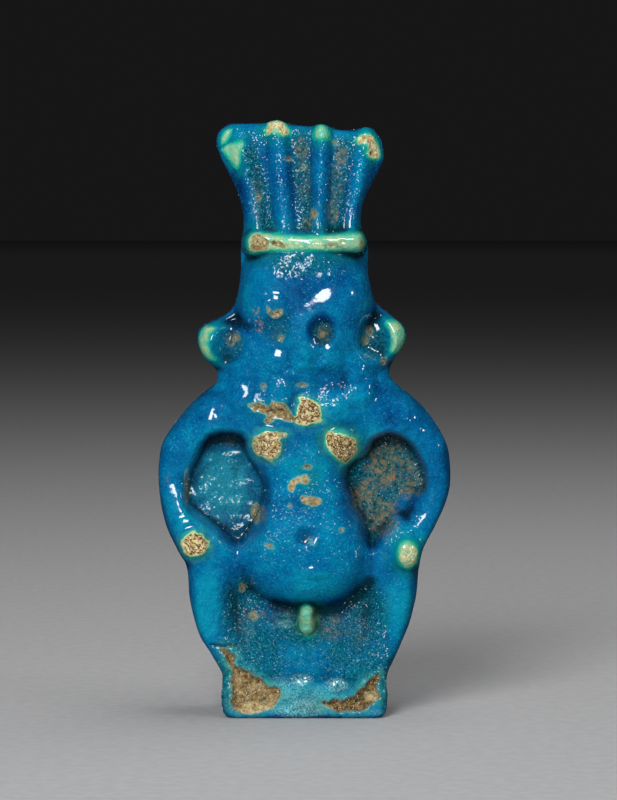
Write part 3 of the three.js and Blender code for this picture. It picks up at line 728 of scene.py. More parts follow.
# %% [markdown]
# Chips and pits go into one field, `bare`, that holds the distance to the nearest border, in
# millimetres and negative inside. The mesh uses it to sink the chips, and the material to colour
# them, so shape and colour always agree. `loss`, `rim` and `tone` say what kind of chip it is.

# %% Wear as fields
FAR = 5.0
CHIP_LIP = 0.1
CHIP_BORDER = 0.7
PIT_WANDER = 0.5
PIT_FLANK = 0.6
shapes = []
for deep, lost, edge, pale, corners in CHIPS.values():
    away = outline_distance(rounded(corners), front_u, front_v) + shift
    shapes.append((away, lost, edge, pale, deep * step(CHIP_LIP, -CHIP_BORDER, away)))
for at, across, up, deep in PITS:
    ring = np.hypot((front_u - at[0]) / across, (front_v - at[1]) / up)
    size = min(across, up)
    away = (ring - 1) * size + PIT_WANDER * shift
    fall = deep * step(CHIP_LIP, -PIT_FLANK * size, away)
    shapes.append((away, PIT_LOSS, PIT_RIM, PIT_TONE, fall))

bare = np.full(front_u.shape, np.inf)
loss, rim, tone, sunk = np.zeros((4,) + front_u.shape)
for away, lost, edge, pale, fall in shapes:
    nearer = away < bare
    bare, loss = np.where(nearer, away, bare), np.where(nearer, lost, loss)
    rim, tone = np.where(nearer, edge, rim), np.where(nearer, pale, tone)
    sunk = np.maximum(sunk, fall)
tone = np.maximum(tone, soft_spots(PALE_BODY_SPOTS))
fields = {"bare": np.minimum(bare / MM, FAR), "loss": loss, "rim": rim, "tone": tone}
print("the deepest chip is", round(sunk.max() / MM, 2), "mm deep")

# %% [markdown]
# Where the glaze broke over raised details it fired mint green: on both ears, on the headband, at
# the feathers' tips, on the pendant and on one hand. `mint` is a distance too, so that a ragged
# green border can be drawn around each patch later.

# %% Patches of green glaze
GREENS = {
    "left ear": [
        (-19.3, 59.4), (-19.2, 62.1), (-18.2, 63.3), (-16.6, 63.2), (-15.6, 62.7), (-16.7, 61.6),
        (-17.1, 60.0), (-16.7, 58.5), (-15.8, 57.2), (-16.2, 56.7), (-17.6, 57.0), (-18.7, 58.1),
    ],
    "right ear": [
        (14.4, 63.6), (15.6, 64.3), (17.1, 64.1), (18.2, 62.7), (18.4, 60.7), (17.6, 58.5),
        (16.0, 58.0), (15.3, 58.5), (15.5, 60.3), (15.1, 62.1),
    ],
    "crown corner": [
        (-17.6, 95.1), (-15.1, 95.6), (-13.5, 96.5), (-10.7, 96.7), (-11.3, 94.0), (-11.5, 92.2),
        (-12.2, 91.4), (-13.8, 93.4), (-14.7, 94.5),
    ],
    "crown streak": [
        (-15.1, 98.0), (-14.0, 99.1), (-12.9, 99.1), (-13.1, 97.8), (-14.0, 96.5), (-15.1, 96.0),
    ],
    "second tip": [
        (-7.2, 97.8), (-7.0, 99.4), (-5.0, 100.3), (-2.9, 99.8), (-2.4, 98.2), (-3.8, 97.2),
        (-5.6, 97.4),
    ],
    "third tip": [
        (1.5, 98.6), (2.2, 99.8), (3.6, 100.0), (4.8, 98.9), (4.6, 97.6), (3.2, 97.0),
        (1.9, 97.4),
    ],
    "fourth tip": [
        (9.0, 98.4), (10.5, 99.0), (12.8, 98.6), (14.2, 96.5), (13.8, 94.4), (12.0, 93.6),
        (10.8, 94.6), (10.9, 96.2), (9.6, 97.2),
    ],
    "headband": [
        (-10.4, 78.0), (-9.6, 80.0), (-6.0, 79.9), (-2.0, 79.5), (3.0, 79.5), (8.0, 80.0),
        (10.3, 80.0), (11.2, 78.2), (10.4, 76.4), (6.5, 76.4), (2.0, 76.6), (-2.5, 76.5),
        (-7.0, 76.3), (-9.8, 76.0),
    ],
    "pendant": [
        (-1.3, 11.5), (-0.6, 12.8), (1.4, 12.9), (2.8, 11.0), (2.7, 9.0), (1.9, 7.2),
        (0.4, 6.8), (-1.0, 7.5), (-1.5, 9.4),
    ],
    "right hand": [
        (18.7, 24.9), (20.3, 23.8), (20.8, 21.9), (20.1, 20.0), (18.6, 19.2), (17.0, 20.2),
        (16.4, 22.1), (17.1, 24.2),
    ],
    "right nipple": [
        (3.8, 44.8), (5.6, 44.7), (7.7, 44.2), (9.5, 43.0), (10.1, 40.8), (9.0, 38.7),
        (7.2, 37.9), (5.6, 39.0), (4.5, 40.6), (3.4, 42.2),
    ],
}
mint = np.full(front_u.shape, np.inf)
for corners in GREENS.values():
    mint = np.minimum(mint, outline_distance(rounded(corners), front_u, front_v))
fields["mint"] = np.minimum(mint / MM, FAR)
print("green glaze on", len(GREENS), "details")

# %% [markdown]
# Hollows caught less glaze, and burial left grit in them: in the gap on the right, less in the one
# on the left, between the legs and in the three grooves of the crown. Grit stays clear of the
# green patches, and fades out down the sides, which nothing in front shelters.

# %% Grit
GRIT_SPOTS = [
    # middle, half size across, half size up, strength
    ((0.0, 8.6), 10.0, 4.6, 0.8),
    ((-9.0, 4.0), 8.0, 9.5, 0.8),
    ((9.0, 4.0), 8.0, 9.5, 0.8),
    ((0.0, 2.0), 12.0, 7.0, 0.3),
    ((-11.0, 11.0), 5.5, 8.5, 0.8),
    ((11.5, 10.5), 5.0, 8.0, 0.9),
    ((0.0, -4.5), 5.5, 4.0, 0.5),
    ((-14.6, -1.6), 2.8, 7.5, 0.95),
    ((15.0, -1.2), 2.6, 7.0, 0.9),
    ((-4.9, 63.4), 3.4, 4.2, 0.5),
    ((3.4, 61.9), 2.3, 2.8, 0.9),
    ((-13.4, 59.6), 3.0, 3.6, 0.6),
    ((12.6, 60.4), 3.4, 4.2, 0.7),
    ((0.8, 34.5), 3.0, 5.5, 0.35),
    ((0.0, 74.2), 9.5, 2.6, 0.6),
    ((-6.0, 47.8), 6.0, 2.6, 0.35),
]
GROOVES = [
    [(-10.0, 94.9), (-8.2, 88.5), (-6.9, 81.2)],
    [(-0.7, 97.6), (-0.4, 90.3), (0.7, 80.7)],
    [(7.1, 96.7), (6.2, 89.4), (5.3, 81.1)],
]
GROOVE_HALF_WIDTH = 2.6
GAP_GRIT = (0.4, 1.0)
GAP_FADE = 1.2
CLEAR_OF_MINT = (-0.2, 0.3)
GRIT_DEPTHS = (3.0, 10.0)
SIDE_EDGES = (0.6, 2.0)
in_grooves = soft_lines(GROOVES, GROOVE_HALF_WIDTH)
grit = np.maximum(soft_spots(GRIT_SPOTS), in_grooves)
for strength, outline in zip(GAP_GRIT, gap_outlines):
    inside = step(0, -GAP_FADE, outline_distance(outline, front_u, front_v))
    grit = np.maximum(grit, strength * inside)
grit = grit * step(*CLEAR_OF_MINT, fields["mint"])
from_edge = np.minimum(front_u - front_u[:, :1], front_u[:, -1:] - front_u)
grit = grit * np.maximum(step(*GRIT_DEPTHS, front_y), step(*SIDE_EDGES, from_edge))
fields["grit"] = grit
print("grit covers", round(100 * grit.mean()), "% of the front")

# %% [markdown]
# Brown dirt has stayed in part of the grit and along the headband. The spots only say where it
# lies and how strongly, and the material breaks them up into fine mottles.

# %% Stains
STAIN_SPOTS = [
    ((5.1, 83.6), 1.3, 2.6, 1.0),
    ((6.6, 95.0), 1.5, 2.4, 0.9),
    ((5.8, 89.0), 1.6, 5.0, 0.45),
    ((0.5, 81.6), 1.2, 1.6, 0.9),
    ((-0.5, 95.8), 1.5, 2.6, 0.9),
    ((-0.2, 89.5), 1.6, 5.0, 0.3),
    ((-8.6, 87.0), 1.4, 6.0, 0.25),
    ((-4.6, 62.0), 1.6, 2.2, 0.25),
    ((3.5, 61.9), 1.8, 2.2, 0.6),
    ((-12.9, 60.6), 1.6, 1.8, 0.7),
    ((11.4, 61.4), 1.5, 2.0, 0.5),
    ((14.6, 40.5), 4.5, 4.0, 1.0),
    ((15.9, 36.8), 6.0, 4.4, 1.0),
    ((18.0, 34.6), 4.6, 3.8, 0.9),
    ((11.2, 31.6), 3.4, 4.6, 1.0),
    ((14.0, 28.6), 4.0, 4.6, 0.9),
    ((-8.5, 29.0), 2.0, 1.8, 0.7),
    ((-13.5, 41.9), 2.6, 1.0, 0.5),
    ((-24.9, 35.2), 0.8, 1.2, 0.3),
    ((-1.8, 77.4), 3.2, 0.9, 0.6),
    ((4.8, 77.6), 2.8, 0.8, 0.6),
    ((8.6, 78.4), 1.8, 0.9, 0.5),
    ((-10.5, 9.0), 2.6, 4.5, 0.2),
    ((9.5, 8.0), 3.4, 4.0, 0.2),
    # the next two make the floor below the belly browner and darker
    ((4.6, 8.6), 4.2, 3.0, 0.5),
    ((-5.0, 10.6), 5.5, 1.8, 0.3),
    ((1.5, -5.0), 4.0, 2.2, 0.35),
]
fields["stain"] = soft_spots(STAIN_SPOTS)
print(len(STAIN_SPOTS), "stains")

# %% [markdown]
# Thin glaze lies on the crests and thick glaze in the hollows. The difference between the relief
# and a blurred copy of itself tells the one from the other, and a few broad spots add what the
# kiln did by chance. A few spots are painted light and shade instead: painted light on the lower
# belly, and painted shade below the belly and along the foot of the base.

# %% Thick and thin glaze, with a little painted light and shade
CREST_REACH = 9
CREST_GAIN = 0.22
THIN_GLAZE_AND_LIT_SPOTS = [
    ((-17.5, 12.0), 3.2, 9.0, 0.18),
    ((16.8, 12.0), 3.0, 9.0, 0.12),
    ((0.2, 38.0), 5.0, 6.0, 0.26),
    ((5.0, 50.0), 7.0, 5.0, 0.12),
    ((0.0, -4.0), 7.5, 3.6, 0.60),
    # painted light on the lower belly, which faces down
    ((0.5, 16.0), 9.5, 4.6, 0.14),
    ((4.6, 53.6), 5.0, 3.4, 0.15),
    ((-2.0, 57.0), 9.0, 4.6, 0.12),
    ((-14.5, 34.0), 7.5, 9.5, 0.45),
]
THICK_GLAZE_AND_SHADE_SPOTS = [
    ((-12.0, 88.0), 2.6, 9.0, 0.25),
    ((-1.0, 90.0), 11.0, 9.0, 0.15),
    ((-18.0, 44.0), 6.0, 5.0, 0.08),
    ((18.0, 44.0), 6.0, 6.0, 0.20),
    ((-1.5, 29.0), 7.0, 5.5, 0.10),
    # painted shade below the belly
    ((0.0, 11.5), 14.0, 3.0, 0.20),
    ((-8.6, 33.0), 3.0, 9.0, 0.15),
    ((8.6, 33.0), 3.0, 9.0, 0.15),
    ((0.0, 70.0), 10.0, 5.5, 0.14),
    ((3.0, 63.0), 3.4, 3.6, 0.30),
    # painted shade along the foot of the base, where it meets the floor
    ((0.0, -7.4), 9.5, 0.9, 0.35),
    ((12.5, 88.0), 2.6, 9.0, 0.20),
    ((23.0, 36.0), 4.5, 12.0, 0.25),
    ((-23.0, 36.0), 4.5, 12.0, 0.15),
]


def blurred(depth, reach):
    return blur_rows(blur_rows(depth, reach).T, reach).T


crest = 0.5 + CREST_GAIN * (front_y - blurred(front_y, CREST_REACH))
# the spots add thick and thin glaze, and also painted light and shade
crest = crest + (soft_spots(THIN_GLAZE_AND_LIT_SPOTS) - soft_spots(THICK_GLAZE_AND_SHADE_SPOTS))
fields["crest"] = np.clip(crest, 0, 1)
print("the average crest is", round(fields["crest"].mean(), 2))

# %% [markdown]
# A blurred copy with a shorter reach finds the creases, where a place lies lower than what is
# close around it. Their darkening is dirt and painted shade together. To them come one crack above
# the base and a few small deep holes, dark with dirt and painted shade too, and a painted shadow
# in the undercut below the belly. Two creases are lighter in the real figure.

# %% Creases, cracks and holes, darkened by dirt and painted shade
CREASE_REACH = 4
CREASE_GAIN = 1.6
CREASE_FLOOR = 0.12
# two creases where less dirt and painted shade goes on
LIGHTER_CREASES = [((-12.3, 23.8), 3.0, 4.5, 0.75), ((12.0, 23.6), 3.0, 4.0, 0.55)]
CRACKS = [
    [(-9.8, 90.3), (-9.4, 90.1)],
    [(-17.0, 5.6), (-14.5, 5.3), (-12.0, 5.6)],
    [(10.9, -2.4), (12.3, -2.8)],
    [(9.0, -4.5), (10.8, -4.0)],
    [(3.6, -4.7), (4.6, -4.9)],
]
CRACK_HALF_WIDTH = 0.4
CRACK_DEPTH = 0.5
# a painted shadow in the undercut below the belly
UNDERCUT_SHADOWS = [[(2.6, 11.4), (6.4, 11.6), (9.4, 13.8), (11.8, 17.0)], [(-1.8, 12.0), (-5.4, 12.8)]]
UNDERCUT_HALF_WIDTH = 2.0
UNDERCUT_CORE = 0.2
# darkening in the creases: dirt and painted shade together
crease_dirt_and_shade = CREASE_GAIN * (blurred(front_y, CREASE_REACH) - front_y) - CREASE_FLOOR
crease_dirt_and_shade = np.clip(crease_dirt_and_shade, 0, 1) * (1 - soft_spots(LIGHTER_CREASES))
cracked = soft_lines(CRACKS, CRACK_HALF_WIDTH)
undercut_shadow = soft_lines(UNDERCUT_SHADOWS, UNDERCUT_HALF_WIDTH, UNDERCUT_CORE)
fields["crease_dirt_and_shade"] = np.maximum(crease_dirt_and_shade, np.maximum(cracked, undercut_shadow))
sunk = np.maximum(sunk, CRACK_DEPTH * cracked)
print(len(CRACKS), "cracks and holes")

# %% [markdown]
# Elsewhere the glaze is frosted by tiny crystals, with a few glossy spots left among them. On the
# base it turned milky. A few milky spots are painted sheen and glints: on the top edge of the
# base, in the left gap and at the navel. The frost decides later where the clear coat scatters and
# sparkles.

# %% Frost, gloss, milky glaze and painted sheen
FROST_SPOTS = [
    ((0.0, 33.0), 9.0, 13.0, 0.75),
    ((0.5, 24.0), 12.0, 9.0, 0.75),
    ((0.0, 4.0), 20.0, 18.0, 0.85),
    ((-0.5, 73.6), 9.5, 3.4, 0.25),
    ((-9.0, 99.0), 4.5, 1.8, 0.6),
    ((-0.4, 50.4), 5.0, 1.6, 0.3),
    ((-3.6, 77.4), 7.0, 1.3, 0.8),
    ((-4.0, 79.4), 2.6, 0.9, 0.9),
    ((3.0, 77.2), 7.0, 1.0, 0.6),
    ((0.0, 91.0), 19.0, 13.0, 0.5),
    ((-11.5, 96.8), 2.6, 2.0, 0.8),
    ((-14.5, 33.0), 8.5, 11.0, 0.3),
    ((14.5, 33.0), 8.5, 11.0, 1.0),
    ((0.0, 52.0), 14.0, 7.0, 0.3),
]
FROST_EVERYWHERE = 0.1
FROST_IN_GROOVES = 0.8
GLOSS_SPOTS = [
    ((2.0, 19.6), 3.0, 2.0, 1.0),
    ((1.2, 24.8), 2.0, 1.8, 1.0),
    ((2.4, 36.5), 1.6, 2.6, 0.5),
    ((-0.2, -0.6), 1.8, 1.4, 0.8),
    ((6.0, -1.6), 1.8, 1.4, 0.8),
]
MILKY_GLAZE_AND_SHEEN_SPOTS = [
    ((-1.0, -5.6), 7.0, 2.2, 0.9),
    ((-3.4, -2.8), 4.6, 3.0, 0.6),
    # the next two are painted glints on the top edge of the base
    ((5.8, -1.6), 2.6, 1.5, 0.9),
    ((-0.6, -0.6), 2.4, 1.4, 0.9),
    ((2.0, -3.4), 5.0, 2.0, 0.4),
    # painted sheen in the left gap
    ((-14.5, 33.0), 7.0, 9.5, 0.12),
    # a painted glint at the navel
    ((1.2, 24.8), 1.3, 1.1, 0.6),
    ((-3.4, 9.0), 2.2, 0.9, 0.5),
    ((-13.8, -5.0), 1.0, 1.6, 0.3),
    ((12.6, -6.4), 2.0, 0.8, 0.4),
]
frost = FROST_EVERYWHERE + soft_spots(FROST_SPOTS)
frost = np.maximum(frost, FROST_IN_GROOVES * in_grooves)
fields["frost"] = np.clip(frost - soft_spots(GLOSS_SPOTS), 0, 1)
fields["milk_and_sheen"] = soft_spots(MILKY_GLAZE_AND_SHEEN_SPOTS)
print("frost covers", round(100 * fields["frost"].mean()), "% of the front")

# %% [markdown]
# The paste is uneven in places. These lumps are broader than the grit, so they are part of the
# mesh from the start, and they are strongest in the left gap and on the base.

# %% Lumps
LUMPY_SPOTS = [
    ((-14.5, 33.0), 8.5, 11.0, 0.45),
    ((-0.5, 73.6), 10.5, 3.6, 0.25),
    ((0.0, 52.0), 17.0, 8.5, 0.22),
    ((0.0, 63.0), 12.0, 6.0, 0.04),
    ((0.0, -3.0), 12.0, 5.0, 0.35),
    ((0.0, 8.0), 14.0, 9.0, 0.30),
    ((14.5, 33.0), 8.0, 10.0, 0.20),
    ((0.0, 34.0), 7.0, 8.0, 0.15),
    ((17.5, 46.0), 6.0, 5.0, 0.28),
    ((-17.5, 46.0), 6.0, 5.0, 0.14),
    ((17.0, 14.0), 4.0, 9.0, 0.12),
    ((-17.5, 14.0), 4.0, 9.0, 0.12),
]
COARSE_LUMPS = 1.7
FINE_LUMPS = 0.8
FINE_LUMPS_SHARE = 0.5
lumpy = lumps(COARSE_LUMPS, seed=21) + FINE_LUMPS_SHARE * lumps(FINE_LUMPS, seed=22)
lumpy = lumpy * soft_spots(LUMPY_SPOTS)
print("the lumps are up to", round(np.abs(lumpy).max() / MM, 2), "mm high")

# %% [markdown]
# The front and the back join into rings, and the rings into one closed skin. The back has one
# value for each field, and every field of the front fades into it down the sides. The top and
# the underside are closed by rings that shrink towards the middle, so that no long thin
# triangles catch the light there.

# %% The closed skin
CAP_SHARES = (0.8, 0.55, 0.3, 0.0)
SIDE_DEPTHS = (0.6, 4.0)
PLAIN = dict.fromkeys(fields, 0)
ON_THE_BACK = PLAIN | dict(bare=FAR, mint=FAR, grit=0.15, crest=0.45, frost=0.3)
left_most = max(row[1] for row in OUTLINE)
back_v = np.broadcast_to(heights[:, None], back_u.shape)
faces_front = np.maximum(step(*SIDE_DEPTHS, front_y), step(*SIDE_EDGES, from_edge))


def around(front, back):
    """Joins values along the front, left to right, with those along the back, right to left."""
    return np.hstack([front, back[:, -2:0:-1]])


def on_front(values, behind):
    """A field of the front, which fades down the sides into one value for the back."""
    return around(mix(behind, values, faces_front), np.full(back_u.shape, float(behind)))


def capped(values, shrink):
    """Adds the rings of both ends to a field: shrunk towards the middle, or repeated."""
    shares = np.array(CAP_SHARES if shrink else [1.0] * len(CAP_SHARES))[:, None]
    return np.vstack([(values[:1] * shares)[::-1], values, values[-1:] * shares])


ring_u = capped(around(front_u, back_u), True)
ring_depth = capped(around(front_y + lumpy - sunk, -back_y), True)
ring_v = capped(around(front_v, back_v), False)
for name, values in fields.items():
    fields[name] = capped(on_front(values, ON_THE_BACK[name]), False)
lifted = ring_v + top_edge(ring_u) * step(TOP_EDGE["start"], 100, ring_v)
x = low.x + (ring_u + left_most) * MODULE
y = high.y - (ring_depth + back_y.max()) * MODULE
z = low.z + (lifted + BASE) * MODULE
print("rings", ring_u.shape)


# %% [markdown]
# NumPy hands the rings to Blender as one mesh. The last ring of each end is a single place, so
# merging its doubles closes the pole. Every field becomes an attribute on the points, which
# Geometry Nodes and the materials can both read by its name.

# %% The mesh with its attributes
rows, columns = x.shape
index = np.arange(rows * columns).reshape(rows, columns)
beside = np.roll(index, -1, axis=1)
faces = np.stack([index[:-1], beside[:-1], beside[1:], index[1:]], axis=-1).reshape(-1, 4)

skin_mesh = bpy.data.meshes.new("figure_skin")
skin_mesh.from_pydata(np.stack([x, y, z], axis=-1).reshape(-1, 3), [], faces.tolist())
for name, values in fields.items():
    attribute = skin_mesh.attributes.new(name, "FLOAT", "POINT")
    attribute.data.foreach_set("value", values.reshape(-1).astype(np.float32))

shell = bmesh.new()
shell.from_mesh(skin_mesh)
bmesh.ops.remove_doubles(shell, verts=shell.verts, dist=1e-8)
bmesh.ops.recalc_face_normals(shell, faces=shell.faces)
shell.to_mesh(skin_mesh)
shell.free()
skin_mesh.shade_smooth()
skin = bpy.data.objects.new("figure_skin", skin_mesh)
bpy.context.scene.collection.objects.link(skin)
print(len(skin_mesh.vertices), "points,", len(skin_mesh.polygons), "faces")

# %% [markdown]
# Geometry Nodes and materials are both node trees, and a tree written node by node is long to
# read. This small helper adds a node, feeds its inputs by name, and hands back its output, so
# that a tree reads like a formula. It serves both kinds of tree.

# %% A short way to write node trees
NODES_IN_A_ROW = 12
NODE_SPACING = (180, -160)


class Tree:
    """Adds nodes to a node tree and joins them."""

    def __init__(self, tree):
        self.tree = tree

    def feed(self, socket, value):
        if isinstance(value, bpy.types.NodeSocket):
            self.tree.links.new(value, socket)
        else:
            socket.default_value = value

    def add(self, kind, inputs=None, **settings):
        node = self.tree.nodes.new(kind)
        row, column = divmod(len(self.tree.nodes), NODES_IN_A_ROW)
        node.location = (column * NODE_SPACING[0], row * NODE_SPACING[1])
        for name, value in settings.items():
            setattr(node, name, value)
        for name, value in (inputs or {}).items():
            self.feed(node.inputs[name], value)
        return node

    def math(self, operation, a, b=0.0, clamp=False):
        inputs = {0: a, 1: b}
        return self.add("ShaderNodeMath", inputs, operation=operation, use_clamp=clamp).outputs[0]

    def times(self, first, *others):
        for other in others:
            first = self.math("MULTIPLY", first, other)
        return first

    def plus(self, first, *others):
        for other in others:
            first = self.math("ADD", first, other)
        return first

    def scaled(self, vector, scale):
        inputs = {"Vector": vector, "Scale": scale}
        return self.add("ShaderNodeVectorMath", inputs, operation="SCALE").outputs["Vector"]

    def span(self, value, start, end, to_start=0.0, to_end=1.0):
        inputs = {0: value, 1: start, 2: end, 3: to_start, 4: to_end}
        return self.add("ShaderNodeMapRange", inputs, interpolation_type="SMOOTHSTEP").outputs[0]

    def noise(self, place, size, detail=2.0):
        scale = self.math("DIVIDE", 1.0, size)
        inputs = {"Vector": place, "Scale": scale, "Detail": detail}
        return self.add("ShaderNodeTexNoise", inputs).outputs[0]

    def cells(self, place, size):
        """The distance to the middle of the nearest of many scattered cells, in cell sizes."""
        scale = self.math("DIVIDE", 1.0, size)
        return self.add("ShaderNodeTexVoronoi", {"Vector": place, "Scale": scale}).outputs[0]

    def blend(self, share, first, second):
        inputs = {0: share, 6: first, 7: second}
        return self.add("ShaderNodeMix", inputs, data_type="RGBA").outputs[2]


def named_group(name, kind, inputs, outputs):
    """A node group with its named sockets: each is a name, a type and a value."""
    group = bpy.data.node_groups.new(name, kind)
    for socket_name, socket_type, value in inputs:
        socket = group.interface.new_socket(socket_name, in_out="INPUT", socket_type=socket_type)
        if value is not None:
            socket.default_value = value
    for socket_name, socket_type in outputs:
        group.interface.new_socket(socket_name, in_out="OUTPUT", socket_type=socket_type)
    tree = Tree(group)
    return tree, tree.add("NodeGroupInput").outputs, tree.add("NodeGroupOutput").inputs


print("a tree knows the words", [word for word in vars(Tree) if word[0] != "_"])


# %% [markdown]
# The fine surface follows rules, so Geometry Nodes make it. Everywhere the glaze lies in gentle
# waves. In the gritty hollows it is rough. In the chips the sandy body shows lumps and pores.
# The tree also stores where it made pores, so that the material can darken exactly those.

# %% The tree for the glaze skin
FLOAT, VECTOR = "NodeSocketFloat", "NodeSocketVector"
GEOMETRY, MATERIAL = "NodeSocketGeometry", "NodeSocketMaterial"
surface, given, result = named_group(
    "glaze skin",
    "GeometryNodeTree",
    [
        ("Skin", GEOMETRY, None),
        ("Material", MATERIAL, None),
        ("Wave size mm", FLOAT, 2.4),
        ("Wave height mm", FLOAT, 0.07),
        ("Lump size mm", FLOAT, 1.3),
        ("Lump height mm", FLOAT, 0.34),
        ("Grit size mm", FLOAT, 0.45),
        ("Grit height mm", FLOAT, 0.2),
        ("Body lump size mm", FLOAT, 0.9),
        ("Body lump height mm", FLOAT, 0.4),
        ("Pore size mm", FLOAT, 0.6),
        ("Pore depth mm", FLOAT, 0.2),
    ],
    [("Skin", GEOMETRY)],
)


def stored(tree, name):
    """Reads a float attribute inside a geometry tree."""
    return tree.add("GeometryNodeInputNamedAttribute", {"Name": name}).outputs["Attribute"]


place = surface.scaled(surface.add("GeometryNodeInputPosition").outputs[0], 1000)


def swing(size, height, detail):
    """Noise around zero, of a size and a height that the modifier gives."""
    noise = surface.noise(place, given[size], detail)
    return surface.times(surface.math("SUBTRACT", noise, 0.5), given[height])


height = surface.add("ShaderNodeSeparateXYZ", {"Vector": place}).outputs["Z"]
FOOT_FADE = (0.02, 0.5)
above_foot = surface.span(height, *FOOT_FADE)
BODY_BORDER = (0.05, -0.35)
body = surface.span(stored(surface, "bare"), *BODY_BORDER)
glazed = surface.math("SUBTRACT", 1, body)
waves = surface.times(swing("Wave size mm", "Wave height mm", 1), glazed)
lumps_and_grit = surface.plus(
    swing("Lump size mm", "Lump height mm", 2), swing("Grit size mm", "Grit height mm", 2)
)
grit = surface.times(lumps_and_grit, stored(surface, "grit"))
sandy = surface.times(swing("Body lump size mm", "Body lump height mm", 3), body)
print("the tree for the", surface.tree.name, "has", len(surface.tree.nodes), "nodes so far")

# %% [markdown]
# A pore is the middle of a cell in a Voronoi pattern, and only the bare body has them. Waves,
# grit, body and pores add up to one shift along the normal. It fades out at the foot, so that
# the figure still stands flat.

# %% Pores, the total shift and the end of the tree
PORE_BORDER = (0.36, 0.16)
pore = surface.span(surface.cells(place, given["Pore size mm"]), *PORE_BORDER)
pore = surface.times(pore, body)
dent = surface.times(pore, given["Pore depth mm"])
total = surface.plus(waves, surface.plus(grit, sandy))
total = surface.times(surface.math("SUBTRACT", total, dent), above_foot)
normal = surface.add("GeometryNodeInputNormal").outputs[0]
offset = surface.scaled(normal, surface.math("DIVIDE", total, 1000))

marked = surface.add(
    "GeometryNodeStoreNamedAttribute",
    {"Geometry": given["Skin"], "Name": "pore", "Value": pore},
    data_type="FLOAT",
    domain="POINT",
)
moved = surface.add("GeometryNodeSetPosition", {"Geometry": marked.outputs[0], "Offset": offset})
real = surface.add("GeometryNodeRealizeInstances", {"Geometry": moved.outputs[0]})
coated = surface.add(
    "GeometryNodeSetMaterial", {"Geometry": real.outputs[0], "Material": given["Material"]}
)
surface.feed(result["Skin"], coated.outputs[0])
print("and", len(surface.tree.nodes), "nodes with its pores")

# %% [markdown]
# A tree runs as a modifier. Its inputs are set by their identifiers, and the evaluated result is
# kept as a plain mesh, so that nothing is left to compute when the piece is used elsewhere. The
# two materials are only named here, and are painted further down.

# %% Grow the glazed figure
glaze = bpy.data.materials.new("copper_glaze")
quartz = bpy.data.materials.new("quartz_grain")


def grow(source, group, **settings):
    """Runs a geometry tree on an object, and returns the result as a plain mesh."""
    modifier = source.modifiers.new(group.name, "NODES")
    modifier.node_group = group
    for item in group.interface.items_tree:
        if item.in_out == "INPUT" and item.name in settings:
            modifier[item.identifier] = settings[item.name]
    seen = source.evaluated_get(bpy.context.evaluated_depsgraph_get())
    mesh = bpy.data.meshes.new_from_object(seen)
    source.modifiers.remove(modifier)
    while mesh.materials[0] is None:
        mesh.materials.pop(index=0)
    return mesh


skin.data = grow(skin, surface.tree, Material=glaze)
skin.name = "glazed_figure"
print(skin.name, "has", len(skin.data.polygons), "faces")

# %% [markdown]
# In the chips and the gritty hollows single grains of quartz stand out and sparkle. There are
# thousands of them, so a second tree scatters one small, coarse ball over the skin, denser where
# the body is bare. A fixed seed keeps every grain in its place from run to run.

# %% The tree for the quartz grains
scatter, given, result = named_group(
    "quartz grains",
    "GeometryNodeTree",
    [
        ("Skin", GEOMETRY, None),
        ("Material", MATERIAL, None),
        ("Grains per square mm", FLOAT, 24.0),
        ("Share in the grit", FLOAT, 0.35),
        ("Cluster size mm", FLOAT, 1.1),
        ("Smallest mm", FLOAT, 0.018),
        ("Largest mm", FLOAT, 0.075),
        ("Seed", "NodeSocketInt", 4),
    ],
    [("Grains", GEOMETRY)],
)
GRAINY_BORDER = (0.0, -0.3)
body = scatter.span(stored(scatter, "bare"), *GRAINY_BORDER)
hollow = scatter.times(stored(scatter, "grit"), given["Share in the grit"])
share = scatter.math("MAXIMUM", body, hollow)
place = scatter.scaled(scatter.add("GeometryNodeInputPosition").outputs[0], 1000)
CLUSTERS = dict(start=0.38, end=0.62, to_start=0.25, to_end=1.6)
clusters = scatter.span(scatter.noise(place, given["Cluster size mm"], 2), **CLUSTERS)
height = scatter.add("ShaderNodeSeparateXYZ", {"Vector": place}).outputs["Z"]
GRAINS_ABOVE = (0.15, 0.4)
share = scatter.times(share, clusters, scatter.span(height, *GRAINS_ABOVE))
per_metre = scatter.times(share, 1e6, given["Grains per square mm"])
points = scatter.add(
    "GeometryNodeDistributePointsOnFaces",
    {"Mesh": given["Skin"], "Density": per_metre, "Seed": given["Seed"]},
    distribute_method="RANDOM",
)
print("grains are scattered by", scatter.tree.name)

# %% [markdown]
# Most grains are fine and a few are coarse, so a random number is raised to its third power
# before it sets the size. An icosphere of 20 faces is enough for something this small.

# %% Size, shape and end of the grain tree
chance = scatter.add("FunctionNodeRandomValue", {"Seed": given["Seed"]}, data_type="FLOAT")
rare = scatter.math("POWER", chance.outputs[1], 3)
width = scatter.math("SUBTRACT", given["Largest mm"], given["Smallest mm"])
radius = scatter.plus(given["Smallest mm"], scatter.times(width, rare))
ball = scatter.add("GeometryNodeMeshIcoSphere", {"Radius": 1.0, "Subdivisions": 1})
placed = scatter.add(
    "GeometryNodeInstanceOnPoints",
    {
        "Points": points.outputs["Points"],
        "Instance": ball.outputs["Mesh"],
        "Rotation": points.outputs["Rotation"],
        "Scale": scatter.math("DIVIDE", radius, 1000),
    },
)
real = scatter.add("GeometryNodeRealizeInstances", {"Geometry": placed.outputs[0]})
shown = scatter.add(
    "GeometryNodeSetMaterial", {"Geometry": real.outputs[0], "Material": given["Material"]}
)
scatter.feed(result["Grains"], shown.outputs[0])

grains = bpy.data.objects.new("quartz_grains", grow(skin, scatter.tree, Material=quartz))
bpy.context.scene.collection.objects.link(grains)
BALL_FACES = 20
print(len(grains.data.polygons) // BALL_FACES, "grains")

